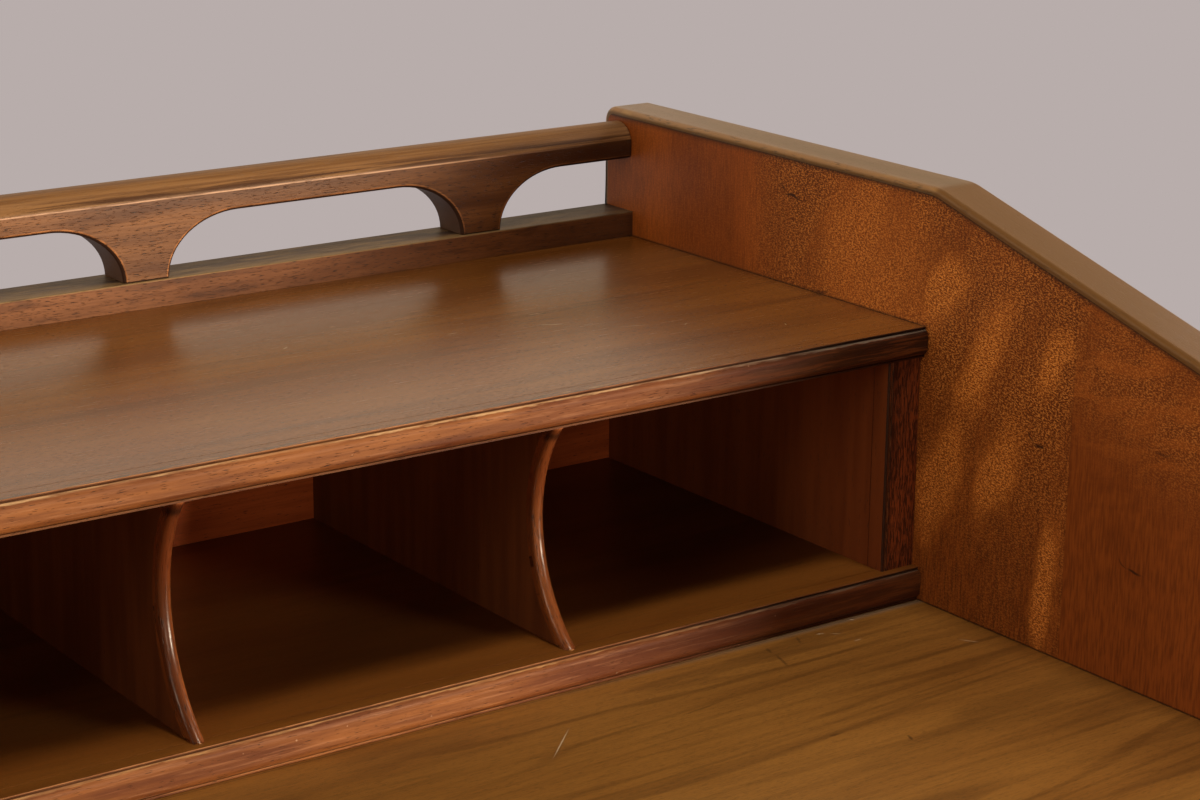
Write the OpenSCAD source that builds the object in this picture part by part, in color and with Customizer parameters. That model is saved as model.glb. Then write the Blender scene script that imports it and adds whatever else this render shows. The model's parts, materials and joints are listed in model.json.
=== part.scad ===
// Walnut trestle desk with a pigeonhole hutch, a fretted gallery rail and three drawers.
// X runs along the width, the front faces -Y and Z is up.
// The origin lies on the floor, under the middle of the whole desk.

/* [Desk] */
// Clear width between the two side panels
inner_w = 1260; // [1200:5:1340]
// Depth of the side panels from front to back
panel_d = 762; // [744:2:790]
// Height of the writing surface above the floor
writing_h = 737; // [725:1:760]
// Thickness of each side panel
panel_t = 33; // [28:1:38]
// Depth of the housings in the side panels that hold the boards
housing_d = 6; // [3:0.5:10]
// Glue line and fitting clearance all round a joint
joint_gap = 0.1; // [0.05:0.05:0.3]

/* [Side panels] */
// Rise of the side panels above the writing surface
panel_rise = 268; // [262:1:300]
// Angle at which the top edge slopes down to the front
slope_angle = 15.8; // [12:0.2:20]
// Distance from the front edge of the shelf forward to the start of the slope
slope_lead = 4; // [0:1:30]
// Depth of the steep rake at the front of the side panels
front_rake = 66; // [40:1:90]
// Height above the writing surface at which the rake ends
rake_foot_h = 14; // [6:1:40]
// Radius of the upper rear corner
rear_corner_r = 11; // [9:1:20]
// Radius of the bend where the slope starts
slope_bend_r = 40; // [20:1:80]
// Radius of the bend between the slope and the rake
rake_bend_r = 46; // [20:1:70]
// Radius of the bend between the rake and the front edge
front_bend_r = 34; // [15:1:50]
// Thickness of the solid lipping round the side panels
lipping_t = 5; // [3:0.5:8]

/* [Case] */
// Thickness of the writing top
top_t = 22; // [18:1:28]
// Distance from the front edge of the side panels back to the writing top
top_setback = 5; // [2:1:12]
// Clear height between the writing top and the case bottom
drawer_space_h = 80; // [70:1:100]
// Thickness of the case bottom
bottom_t = 16; // [14:1:22]
// Thickness of the finished back of the case
case_back_t = 12; // [9:1:18]
// Distance from the rear edge of the side panels in to the case back
rear_margin = 2; // [1:0.5:10]
// Width of the bay for the centre drawer
centre_bay_w = 508; // [440:2:560]
// Thickness of the partitions between the drawers
partition_t = 19; // [15:1:25]
// Depth of the grooves that hold the partitions
partition_groove = 5; // [3:0.5:8]

/* [Nosings] */
// Depth of the solid nosing strips
nosing_d = 14; // [10:1:20]
// Height of the small step above and below a nosing
nosing_step = 1.2; // [0.6:0.2:2]
// Width of the small step above and below a nosing
nosing_step_w = 3; // [1.5:0.5:5]
// Radius of the rounded front of a nosing
nosing_r = 5; // [3:0.5:7]
// Distance that the shelf nosing stands in front of the shelf edge
shelf_nosing_proud = 3.2; // [1:0.2:6]
// Distance that the base nosing stands in front of the shelf edge
base_nosing_proud = 5.5; // [3:0.5:10]

/* [Hutch] */
// Depth of the shelf from its front edge to the gallery sill
shelf_d = 308; // [290:1:320]
// Height of the underside of the shelf above the writing surface
shelf_rise = 160; // [145:1:180]
// Thickness of the shelf
shelf_t = 19.5; // [16:0.5:24]
// Thickness of the board under the pigeonholes
base_t = 22; // [18:1:26]
// Inside depth of the pigeonholes behind the front edge of the shelf
pigeonhole_d = 298; // [270:1:300]
// Thickness of the back of the pigeonholes
hutch_back_t = 12; // [6:1:14]
// Thickness of the end panels of the hutch
end_t = 26; // [20:1:32]
// Distance of the end panels behind the front edge of the shelf
end_setback = 3; // [0:0.5:10]
// Depth of the solid edging on the end panels
edging_d = 14; // [8:1:22]
// Width of the bead on the inner corner of the edging
bead_w = 3; // [2:0.5:5]
// Thickness of the dividers
divider_t = 7; // [6:0.5:8]
// Depth of the grooves that hold the dividers
divider_groove = 3; // [2:0.5:5]
// Setback of the foot of a divider from the front edge of the shelf
divider_foot = 1.5; // [0:0.5:8]
// Setback of the head of a divider from the front edge of the shelf
divider_head = 10; // [6:0.5:16]
// Depth of the hollow in the front of a divider
divider_hollow = 31; // [20:1:40]
// Width of the bullnose strip on the front of a divider
strip_w = 8.5; // [8:0.5:12]
// Depth of the bullnose strip
strip_d = 8; // [7:0.5:12]

/* [Gallery] */
// Width of the gallery sill from front to back
sill_w = 33.5; // [30:0.5:40]
// Height of the gallery sill above the shelf
sill_h = 17.5; // [12:0.5:24]
// Distance of the gallery rail behind the front face of the sill
rail_setback = 2; // [0:0.5:4]
// Thickness of the gallery rail from front to back
rail_t = 30; // [24:1:30]
// Width of a post where it stands on the sill
post_foot_w = 32; // [24:1:44]
// Height of an arch above the sill
arch_h = 38; // [30:1:46]
// Length of the curve between a post and the flat top of an arch
arch_run = 50; // [36:1:60]
// Height of the flat front of the rail above the arches
rail_face_h = 13; // [10:0.5:18]
// Height of the rounded crown of the rail
rail_crown = 11.5; // [8:0.5:14]
// Diameter of the gallery dowels
dowel_dia = 8; // [6:0.5:10]
// Depth that a gallery dowel enters each piece
dowel_depth = 15; // [10:1:17]

/* [Drawers] */
// Distance of the drawer fronts behind the front edge of the side panels
front_inset = 16; // [12:1:24]
// Thickness of the drawer fronts
front_t = 20; // [18:1:24]
// Gap round a drawer front
front_gap = 1.5; // [1:0.25:2.5]
// Length of a drawer from front to back
drawer_len = 580; // [500:5:600]
// Thickness of the drawer sides
side_t = 11; // [9:0.5:14]
// Gap between a drawer side and its bay
side_gap = 1; // [0.5:0.25:2]
// Distance from the top edge of the drawer sides up to the writing top
head_gap = 6; // [4:0.5:10]
// Thickness of the drawer backs
drawer_back_t = 11; // [9:0.5:14]
// Distance of the drawer back in from the rear end of the sides
back_inset = 12; // [8:1:20]
// Thickness of the drawer bottoms
drawer_bottom_t = 5; // [4:0.5:7]
// Height of the drawer bottom above the lower edge of the sides
bottom_lift = 8; // [6:0.5:10]
// Depth of the grooves in the drawer sides and front
groove_d = 5; // [3:0.5:6]
// Wood left in front of the dovetails
dovetail_lap = 7; // [5:0.5:9]
// Number of dovetails at each drawer corner
dovetails = 3; // [2:1:4]
// Distance that a drawer pulls out
drawer_travel = 400; // [300:5:440]
// Height of the runner strips
runner_h = 3; // [2:0.5:5]
// Width of the runner strips
runner_w = 18; // [14:1:24]
// Running gap between a drawer and what guides or stops it
running_gap = 0.4; // [0.3:0.1:0.6]
// Height of the closing stops
stop_h = 5.5; // [4:0.5:7]
// Distance that a pull-out stop hangs below the writing top
catch_h = 14; // [12:0.5:18]

/* [Pulls] */
// Length of a drawer pull
pull_w = 160; // [120:2:200]
// Distance that a pull stands in front of its drawer
pull_reach = 30; // [27:1:38]
// Height of a pull
pull_h = 22; // [16:1:30]
// Thickness of the grip of a pull
pull_grip_t = 11; // [8:1:13]
// Width of each foot of a pull
pull_foot_w = 16; // [12:1:24]
// Diameter of the spigots of a pull
spigot_dia = 8; // [6:0.5:10]
// Depth that a spigot enters the drawer front
spigot_depth = 12; // [8:1:15]

/* [Trestle] */
// Distance from the outer face of a side panel in to the middle of a post
trestle_inset = 150; // [120:5:200]
// Length of each foot
foot_len = 680; // [600:5:720]
// Height of each foot at the post
foot_h = 62; // [54:1:76]
// Width of each foot
foot_w = 58; // [50:1:70]
// Height of the toes of each foot
toe_h = 34; // [26:1:44]
// Length of the pad under each toe
pad_len = 110; // [80:2:150]
// Rise of the arch under each foot
foot_arch = 14; // [8:1:18]
// Hollow in the upper edge of each foot between post and toe
foot_hollow = 7; // [2:1:12]
// Radius of the upper corner of a toe
toe_r = 18; // [8:1:24]
// Thickness of each post
post_t = 42; // [36:1:48]
// Width of each post at its ends
post_w = 210; // [170:2:260]
// Width of each post at its waist
post_waist = 112; // [100:2:140]
// Length of the tenons at the ends of the posts
tenon_len = 28; // [20:1:30]
// Thickness of the tenons at the ends of the posts
tenon_t = 16; // [12:1:20]
// Shoulder at each side of the tenons of the posts
tenon_shoulder = 30; // [20:1:40]
// Length of each bearer
bearer_len = 610; // [560:5:660]
// Height of each bearer
bearer_h = 46; // [42:1:60]
// Width of each bearer
bearer_w = 54; // [50:1:64]
// Height of the raked ends of the bearers
bearer_end_h = 24; // [16:1:36]
// Height of the middle of the stretcher above the floor
stretcher_z = 300; // [240:5:360]
// Thickness of the stretcher
stretcher_t = 30; // [26:1:40]
// Height of the stretcher at its ends
stretcher_h = 112; // [96:2:130]
// Hollow in the upper and lower edge of the stretcher
stretcher_hollow = 15; // [5:1:20]
// Height of the through tenons of the stretcher
tusk_h = 64; // [50:2:70]
// Thickness of the through tenons of the stretcher
tusk_t = 20; // [16:1:24]
// Distance that the through tenons stand out of the posts
tusk_proud = 62; // [50:1:70]
// Length of the wedges
wedge_len = 116; // [90:2:130]
// Width of the wedges at half their length
wedge_w = 24; // [18:1:28]
// Thickness of the wedges
wedge_t = 10; // [8:1:12]
// Taper of the wedges over their length
wedge_taper = 8; // [4:1:10]
// Diameter of the floor glides
glide_dia = 28; // [20:1:36]
// Height of the floor glides under the feet
glide_h = 5; // [3:0.5:8]
// Diameter of the screws through the bearers
screw_dia = 5.5; // [4:0.5:6]
// Diameter of the screw heads
screw_head_dia = 12; // [9:0.5:14]
// Depth that the screws enter the case bottom
screw_bite = 11; // [8:1:12]

/* [Hidden] */

// Colours of the woods and metals
walnut = [0.44, 0.26, 0.13];
walnut_red = [0.50, 0.25, 0.11];
walnut_dark = [0.33, 0.18, 0.09];
walnut_olive = [0.42, 0.29, 0.14];
drawer_wood = [0.76, 0.62, 0.43];
bright_steel = [0.72, 0.72, 0.70];
glide_grey = [0.35, 0.33, 0.31];

// Number of straight pieces in a curve, and of sides in a round hole or dowel
arc_steps = 16;
round_sides = 48;
// A cut is made this much longer than the wood it goes through
over = 1;
// Pigeonholes, with a divider between each two and one gallery post behind each
pigeonholes = 5;

// Levels above the floor
case_z = writing_h - top_t - drawer_space_h - bottom_t;
bay_z = [case_z + bottom_t, writing_h - top_t];
base_z = writing_h + base_t;
shelf_z = writing_h + shelf_rise;
shelf_top_z = shelf_z + shelf_t;
sill_z = shelf_top_z + sill_h;
arch_z = sill_z + arch_h;
rail_arris_z = arch_z + rail_face_h;
panel_top_z = writing_h + panel_rise;
foot_top_z = glide_h + foot_h;
bearer_z = case_z - bearer_h;

// Places from front to back
pull_proud = pull_reach - front_inset;
rear_y = (panel_d + pull_proud) / 2;
panel_y = rear_y - panel_d;
case_back_y = rear_y - rear_margin - case_back_t;
sill_y = rear_y - rear_margin - sill_w;
shelf_y = sill_y - shelf_d;
hutch_back_y = shelf_y + pigeonhole_d;
front_y = panel_y + front_inset;
box_y = front_y + front_t;
// The partitions start behind the writing nosing
partition_front_y = max(front_y + front_gap, panel_y + top_setback + nosing_d);
rail_y = sill_y + rail_setback;
trestle_y = (panel_y + rear_y) / 2;

// Places from side to side
half_w = inner_w / 2;
housed_w = half_w + housing_d;
trestle_x = half_w + panel_t - trestle_inset;
partition_x = centre_bay_w / 2 + partition_t / 2;
bays = [
    [-half_w, -partition_x - partition_t / 2],
    [-centre_bay_w / 2, centre_bay_w / 2],
    [partition_x + partition_t / 2, half_w]
];
pigeonhole_w = (inner_w - 2 * end_t - (pigeonholes - 1) * divider_t) / pigeonholes;
divider_x = [for (i = [1 : pigeonholes - 1])
    -half_w + end_t - divider_t / 2 + i * (pigeonhole_w + divider_t)];
gallery_pitch = inner_w / pigeonholes;
gallery_x = [for (i = [0 : pigeonholes - 1]) -half_w + gallery_pitch * (i + 0.5)];

// Each board as its lowest and its highest corner
writing_top_box = [
    [-housed_w, panel_y + top_setback + nosing_d, bay_z[1]],
    [housed_w, case_back_y, writing_h]
];
case_bottom_box = [
    [-housed_w, front_y - running_gap, case_z],
    [housed_w, case_back_y, case_z + bottom_t]
];
case_back_box = [
    [-housed_w, case_back_y, case_z],
    [housed_w, case_back_y + case_back_t, shelf_z]
];
hutch_base_box = [
    [-half_w, shelf_y + nosing_d - base_nosing_proud, writing_h],
    [half_w, case_back_y, base_z]
];
hutch_shelf_box = [
    [-housed_w, shelf_y + nosing_d - shelf_nosing_proud, shelf_z],
    [housed_w, sill_y, shelf_top_z]
];
hutch_back_box = [
    [-half_w, hutch_back_y, base_z],
    [half_w, hutch_back_y + hutch_back_t, shelf_z]
];
sill_box = [
    [-housed_w, sill_y, shelf_z],
    [housed_w, sill_y + sill_w, sill_z]
];
housed_boards = [writing_top_box, case_bottom_box, case_back_box, hutch_shelf_box, sill_box];

// Side panel outline in Y and Z, from the lower rear corner upwards and forwards
slope_y = shelf_y - slope_lead;
rake_y = panel_y + front_rake;
panel_corners = [
    [rear_y, case_z],
    [rear_y, panel_top_z],
    [slope_y, panel_top_z],
    [rake_y, panel_top_z - (slope_y - rake_y) * tan(slope_angle)],
    [panel_y, writing_h + rake_foot_h],
    [panel_y, case_z]
];
panel_radii = [0, rear_corner_r, slope_bend_r, rake_bend_r, front_bend_r, 0];

// Front curve of a divider, and the middle of the circle that it lies on
divider_low = [shelf_y + divider_foot, base_z];
divider_high = [shelf_y + divider_head, shelf_z];
divider_chord = norm(divider_high - divider_low);
hollow_r = (divider_chord * divider_chord / 4 + divider_hollow * divider_hollow) / (2 * divider_hollow);
divider_way = (divider_high - divider_low) / divider_chord;
hollow_centre = (divider_low + divider_high) / 2
    + [-divider_way[1], divider_way[0]] * (hollow_r - divider_hollow);
// The tongues of a divider start this far behind its front
divider_stop = divider_hollow / 2;

// Drawer levels and places
side_z = [bay_z[0] + runner_h + running_gap, bay_z[1] - head_gap];
drawer_bottom_z = side_z[0] + bottom_lift;
drawer_end_y = front_y + drawer_len;
drawer_back_y = drawer_end_y - back_inset - drawer_back_t;
tail_pitch = (side_z[1] - side_z[0]) / dovetails;
// Width of a dovetail at its root and at its end, as parts of the pitch
tail_root = 0.52;
tail_end = 0.72;
// Blocks of the stops, their thickness and width
stop_t = 12;
stop_w = 40;

// Flat of a foot beside the post, and the eased lower corner of its toe
foot_brow = 8;
sole_r = 4;
// Bearer screws from the middle of the trestle, their heads and how far these lie in the bearers
screw_reach = [post_w / 2 + 35, bearer_len / 2 - 50];
screw_head_h = 4;
screw_recess = 5;
// Spigots that hold the floor glides
glide_spigot_dia = 7;
glide_spigot_h = 14;

// Points along the arc from p to q that rises to the left of the way by rise
function arc(p, q, rise) =
    let (chord = norm(q - p),
         way = (q - p) / chord,
         left = [-way[1], way[0]],
         half = 2 * atan(2 * rise / chord),
         radius = (chord * chord / 4 + rise * rise) / (2 * rise),
         centre = (p + q) / 2 + left * (rise - radius))
    [for (i = [0 : arc_steps])
        let (turn = half * (2 * i / arc_steps - 1))
        centre + radius * (sin(turn) * way + cos(turn) * left)];

// One corner of an outline as an arc of radius r, or left sharp where r is 0
function corner(before, here, after, r) =
    r == 0 ? [here] :
    let (to_before = (before - here) / norm(before - here),
         to_after = (after - here) / norm(after - here),
         half = acos(to_before * to_after) / 2,
         turn = sign(cross(here - before, after - here)))
    arc(here + to_before * r / tan(half), here + to_after * r / tan(half), -turn * r * (1 - sin(half)));

// An outline with each corner rounded by its own radius
function rounded(corners, radii) =
    let (n = len(corners))
    [for (i = [0 : n - 1])
        each corner(corners[(i + n - 1) % n], corners[i], corners[(i + 1) % n], radii[i])];

// The corners of an outline drawn in from each edge by that edge's own gap
function inset(corners, gaps) =
    let (n = len(corners))
    [for (i = [0 : n - 1])
        let (here = corners[i],
             way_in = (here - corners[(i + n - 1) % n]) / norm(here - corners[(i + n - 1) % n]),
             way_out = (corners[(i + 1) % n] - here) / norm(corners[(i + 1) % n] - here),
             start_in = here + [-way_in[1], way_in[0]] * gaps[(i + n - 1) % n],
             start_out = here + [-way_out[1], way_out[0]] * gaps[i])
        start_in + way_in * cross(start_out - start_in, way_out) / cross(way_in, way_out)];

// The side panel inside its lipping, drawn longer at the bottom by drop
function core_outline(drop) =
    rounded(inset(panel_corners, [lipping_t, lipping_t, lipping_t, lipping_t, lipping_t, -drop]),
            [for (r = panel_radii) max(r - lipping_t, 0)]);

// Section of a nosing from its back edge at depth to its rounded front at 0, and from 0 to height
function nosing_section(depth, height) =
    rounded([[depth, 0], [depth, height], [nosing_step_w, height], [nosing_step_w, height - nosing_step],
             [0, height - nosing_step], [0, nosing_step], [nosing_step_w, nosing_step], [nosing_step_w, 0]],
            [0, 0, 0, 0, nosing_r, nosing_r, 0, 0]);

// Curve of an arch from a post at x to the flat top, run away along X; run may be negative
function arch_curve(x, run) =
    [for (i = [0 : arc_steps])
        let (turn = 90 * i / arc_steps)
        [x + run * (1 - cos(turn)), arch_h * sin(turn)]];

// Stretches an outline in Y and Z along X from x0 to x1
module along_x(x0, x1) {
    translate([x0, 0, 0]) rotate([90, 0, 90]) linear_extrude(x1 - x0) children();
}

// Stretches an outline in X and Z along Y from y0 to y1
module along_y(y0, y1) {
    translate([0, y1, 0]) rotate([90, 0, 0]) linear_extrude(y1 - y0) children();
}

// A board between its lowest and highest corner, drawn larger all round by grow
module board(corners, grow = 0) {
    translate(corners[0] - [grow, grow, grow])
        cube(corners[1] - corners[0] + 2 * [grow, grow, grow]);
}

// A round peg or hole along Z
module round_bar(dia, length) {
    cylinder(d = dia, h = length, $fn = round_sides);
}

// The left side is the right side seen in a mirror
module handed(side) {
    if (side < 0) mirror([1, 0, 0]) children();
    else children();
}

// Dowels that hold the gallery rail to the sill and to the side panels
module gallery_pegs(grow = 0) {
    for (x = gallery_x)
        translate([x, rail_y + rail_t / 2, sill_z - dowel_depth])
            round_bar(dowel_dia + 2 * grow, 2 * dowel_depth);
    for (side = [-1, 1])
        translate([side * half_w - dowel_depth, rail_y + rail_t / 2, rail_arris_z])
            rotate([0, 90, 0]) round_bar(dowel_dia + 2 * grow, 2 * dowel_depth);
}

module side_panel(side) {
    color(walnut_red) handed(side) difference() {
        along_x(half_w, half_w + panel_t) polygon(core_outline(0));
        for (box = housed_boards) board(box, joint_gap);
        gallery_pegs(joint_gap);
    }
}

module side_lipping(side) {
    color(walnut_olive) handed(side) difference() {
        along_x(half_w, half_w + panel_t) difference() {
            polygon(rounded(panel_corners, panel_radii));
            polygon(core_outline(over));
        }
        for (box = housed_boards) board(box, joint_gap);
    }
}

module writing_top() {
    color(walnut_olive) difference() {
        board(writing_top_box);
        for (side = [-1, 1]) board(partition_box(side), joint_gap);
    }
}

module nosing(y, z, height) {
    color(walnut) translate([0, y, z]) along_x(-half_w, half_w) polygon(nosing_section(nosing_d, height));
}

module writing_nosing() {
    nosing(panel_y + top_setback, bay_z[1], top_t);
}

module case_bottom() {
    color(walnut) difference() {
        board(case_bottom_box);
        for (side = [-1, 1]) board(partition_box(side), joint_gap);
        screw_holes();
    }
}

module case_back() {
    color(walnut) board(case_back_box);
}

function partition_box(side) = [
    [side * partition_x - partition_t / 2, partition_front_y, bay_z[0] - partition_groove],
    [side * partition_x + partition_t / 2, case_back_y, bay_z[1] + partition_groove]
];

module partition(side) {
    color(walnut) board(partition_box(side));
}

module drawer_runners() {
    color(drawer_wood) for (bay = bays) for (x = [bay[0], bay[1] - runner_w])
        board([[x, box_y + stop_t, bay_z[0]], [x + runner_w, case_back_y, bay_z[0] + runner_h]]);
}

module drawer_stops() {
    color(drawer_wood) for (bay = bays) {
        catch_y = drawer_back_y - drawer_travel - running_gap;
        middle = (bay[0] + bay[1]) / 2;
        board([[middle - stop_w / 2, catch_y - stop_t, bay_z[1] - catch_h],
               [middle + stop_w / 2, catch_y, bay_z[1]]]);
        for (x = [bay[0] + runner_w, bay[1] - runner_w - stop_w])
            board([[x, box_y + running_gap, bay_z[0]],
                   [x + stop_w, box_y + running_gap + stop_t, bay_z[0] + stop_h]]);
    }
}

module hutch_base() {
    color(walnut_olive) difference() {
        board(hutch_base_box);
        for (x = divider_x) board(divider_tongue(x), joint_gap);
    }
}

module base_nosing() {
    nosing(shelf_y - base_nosing_proud, writing_h, base_t);
}

module hutch_shelf() {
    color(walnut_olive) difference() {
        board(hutch_shelf_box);
        for (x = divider_x) board(divider_tongue(x), joint_gap);
    }
}

module shelf_nosing() {
    nosing(shelf_y - shelf_nosing_proud, shelf_z, shelf_t);
}

module hutch_back() {
    color(walnut_red) board(hutch_back_box);
}

module hutch_end(side) {
    color(walnut_red) handed(side)
        board([[half_w - end_t, shelf_y + end_setback + edging_d, base_z], [half_w, hutch_back_y, shelf_z]]);
}

module end_edging(side) {
    bead_y = shelf_y + end_setback;
    color(walnut) handed(side) translate([0, 0, base_z]) linear_extrude(shelf_z - base_z) union() {
        translate([half_w - end_t + bead_w, bead_y]) square([end_t - bead_w, edging_d]);
        translate([half_w - end_t, bead_y + bead_w / 2]) square([bead_w, edging_d - bead_w / 2]);
        translate([half_w - end_t + bead_w / 2, bead_y + bead_w / 2]) circle(d = bead_w, $fn = round_sides);
    }
}

function divider_tongue(x) = [
    [x - divider_t / 2, shelf_y + divider_hollow + divider_stop, base_z - divider_groove],
    [x + divider_t / 2, hutch_back_y, shelf_z + divider_groove]
];

module divider(x) {
    color(walnut_dark) union() {
        along_x(x - divider_t / 2, x + divider_t / 2) difference() {
            translate([shelf_y, base_z]) square([pigeonhole_d, shelf_z - base_z]);
            translate(hollow_centre) circle(r = hollow_r + strip_d, $fn = 4 * round_sides);
            translate([shelf_y - over, base_z - over])
                square([over + divider_foot, shelf_z - base_z + 2 * over]);
        }
        board(divider_tongue(x));
    }
}

module divider_strip(x) {
    tube_r = strip_w / 2;
    color(walnut) intersection() {
        translate([x, hollow_centre[0], hollow_centre[1]]) rotate([0, 90, 0])
            rotate_extrude($fn = 4 * round_sides) intersection() {
                union() {
                    translate([hollow_r + tube_r, 0]) circle(r = tube_r, $fn = round_sides);
                    translate([hollow_r + tube_r, -tube_r]) square([strip_d, strip_w]);
                }
                translate([hollow_r, -tube_r]) square([strip_d - joint_gap, strip_w]);
            }
        board([[x - strip_w, shelf_y - over, base_z],
               [x + strip_w, shelf_y + divider_hollow + divider_head + strip_d, shelf_z]]);
    }
}

module gallery_sill() {
    color(walnut) difference() {
        board(sill_box);
        gallery_pegs(joint_gap);
    }
}

module gallery_rail() {
    color(walnut) difference() {
        intersection() {
            along_y(rail_y, rail_y + rail_t) translate([0, sill_z]) difference() {
                translate([-half_w, 0]) square([inner_w, arch_h + rail_face_h + rail_crown]);
                for (i = [0 : pigeonholes]) gallery_arch(i);
            }
            along_x(-half_w, half_w) polygon(concat(
                [[rail_y, sill_z], [rail_y + rail_t, sill_z]],
                arc([rail_y + rail_t, rail_arris_z], [rail_y, rail_arris_z], -rail_crown)));
        }
        gallery_pegs(joint_gap);
    }
}

// One arch of the gallery; the first and the last are half arches that end at the side panels
module gallery_arch(i) {
    left_x = i == 0 ? -half_w - over : gallery_x[i - 1] + post_foot_w / 2;
    right_x = i == pigeonholes ? half_w + over : gallery_x[i] - post_foot_w / 2;
    left_curve = i == 0 ? [[left_x, 0], [left_x, arch_h]] : arch_curve(left_x, arch_run);
    right_curve = i == pigeonholes ? [[right_x, 0], [right_x, arch_h]] : arch_curve(right_x, -arch_run);
    backwards = [for (k = [len(right_curve) - 1 : -1 : 0]) right_curve[k]];
    polygon(concat([[left_x, -over]], left_curve, backwards, [[right_x, -over]]));
}

module gallery_dowels() {
    color(drawer_wood) gallery_pegs();
}

// Tenons at both ends of a post, each begun a little way inside the post
module post_tenons(grow = 0) {
    for (z = [[foot_top_z - tenon_len, foot_top_z + over], [bearer_z - over, bearer_z + tenon_len]])
        board([[trestle_x - tenon_t / 2, trestle_y - post_w / 2 + tenon_shoulder, z[0]],
               [trestle_x + tenon_t / 2, trestle_y + post_w / 2 - tenon_shoulder, z[1]]], grow);
}

// The outline of a foot from the sole at the toe round to the brow beside the post
function foot_side() =
    let (toe = [foot_len / 2, toe_h],
         sole = [foot_len / 2, 0],
         brow = [post_w / 2 + foot_brow, foot_h],
         tip = corner(sole, toe, brow, toe_r))
    concat(corner([0, 0], sole, toe, sole_r), tip, arc(tip[arc_steps], brow, foot_hollow));

module foot(side) {
    half = foot_side();
    other_half = [for (i = [len(half) - 1 : -1 : 0]) [-half[i][0], half[i][1]]];
    arch_end = foot_len / 2 - pad_len;
    color(walnut) handed(side) difference() {
        along_x(trestle_x - foot_w / 2, trestle_x + foot_w / 2) translate([trestle_y, glide_h]) difference() {
            polygon(concat(half, other_half));
            polygon(concat(arc([arch_end, 0], [-arch_end, 0], -foot_arch),
                           [[-arch_end, -over], [arch_end, -over]]));
        }
        post_tenons(joint_gap);
        glide_set(joint_gap);
    }
}

module post(side) {
    hollow = (post_w - post_waist) / 2;
    half = post_w / 2;
    color(walnut) handed(side) difference() {
        union() {
            along_x(trestle_x - post_t / 2, trestle_x + post_t / 2) translate([trestle_y, 0]) polygon(concat(
                arc([half, foot_top_z], [half, bearer_z], hollow),
                arc([-half, bearer_z], [-half, foot_top_z], hollow)));
            post_tenons();
        }
        stretcher_tenon(joint_gap);
    }
}

module bearer(side) {
    half_len = bearer_len / 2;
    color(walnut) handed(side) difference() {
        along_x(trestle_x - bearer_w / 2, trestle_x + bearer_w / 2) translate([trestle_y, bearer_z]) polygon([
            [half_len - bearer_end_h * 2, 0],
            [half_len, bearer_h - bearer_end_h],
            [half_len, bearer_h],
            [-half_len, bearer_h],
            [-half_len, bearer_h - bearer_end_h],
            [-half_len + bearer_end_h * 2, 0]
        ]);
        post_tenons(joint_gap);
        screw_holes();
    }
}

// The through tenon on the right of the stretcher
module stretcher_tenon(grow = 0) {
    board([[trestle_x - post_t / 2 - over, trestle_y - tusk_t / 2, stretcher_z - tusk_h / 2],
           [trestle_x + post_t / 2 + tusk_proud, trestle_y + tusk_t / 2, stretcher_z + tusk_h / 2]], grow);
}

module stretcher() {
    shoulder_x = trestle_x - post_t / 2;
    half_h = stretcher_h / 2;
    color(walnut) difference() {
        union() {
            along_y(trestle_y - stretcher_t / 2, trestle_y + stretcher_t / 2) translate([0, stretcher_z])
                polygon(concat(
                    arc([shoulder_x, half_h], [-shoulder_x, half_h], stretcher_hollow),
                    arc([-shoulder_x, -half_h], [shoulder_x, -half_h], stretcher_hollow)));
            for (side = [-1, 1]) handed(side) stretcher_tenon();
        }
        for (side = [-1, 1]) handed(side) wedge(joint_gap);
    }
}

// A wedge with an upright inner face that bears on the post and a sloping outer face
module wedge(grow = 0) {
    face_x = trestle_x + post_t / 2;
    half_len = wedge_len / 2;
    inner = face_x - grow;
    top = face_x + wedge_w + wedge_taper / 2 + grow;
    low = face_x + wedge_w - wedge_taper / 2 + grow;
    along_y(trestle_y - wedge_t / 2 - grow, trestle_y + wedge_t / 2 + grow) translate([0, stretcher_z])
        polygon([[inner, -half_len], [low, -half_len], [top, half_len], [inner, half_len]]);
}

module stretcher_wedges() {
    color(walnut_dark) for (side = [-1, 1]) handed(side) wedge();
}

// Glides under both toes of the right foot, each with the spigot that holds it
module glide_set(grow = 0) {
    for (way = [-1, 1])
        translate([trestle_x, trestle_y + way * (foot_len - pad_len) / 2, 0]) {
            round_bar(glide_dia + 2 * grow, glide_h);
            round_bar(glide_spigot_dia + 2 * grow, glide_h + glide_spigot_h);
        }
}

module floor_glides() {
    color(glide_grey) for (side = [-1, 1]) handed(side) glide_set();
}

// Each place where a screw goes up through a bearer, at the underside of the bearer
module at_bearer_screws() {
    for (side = [-1, 1]) for (way = [-1, 1]) for (reach = screw_reach)
        translate([side * trestle_x, trestle_y + way * reach, bearer_z]) children();
}

// Counterbore and hole for each screw
module screw_holes() {
    at_bearer_screws() {
        translate([0, 0, -over])
            round_bar(screw_head_dia + 2 * joint_gap, over + screw_recess + screw_head_h);
        round_bar(screw_dia + 2 * joint_gap, bearer_h + screw_bite + joint_gap);
    }
}

module bearer_screws() {
    color(bright_steel) at_bearer_screws() translate([0, 0, screw_recess]) {
        round_bar(screw_head_dia, screw_head_h);
        round_bar(screw_dia, bearer_h + screw_bite - screw_recess);
    }
}

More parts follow.
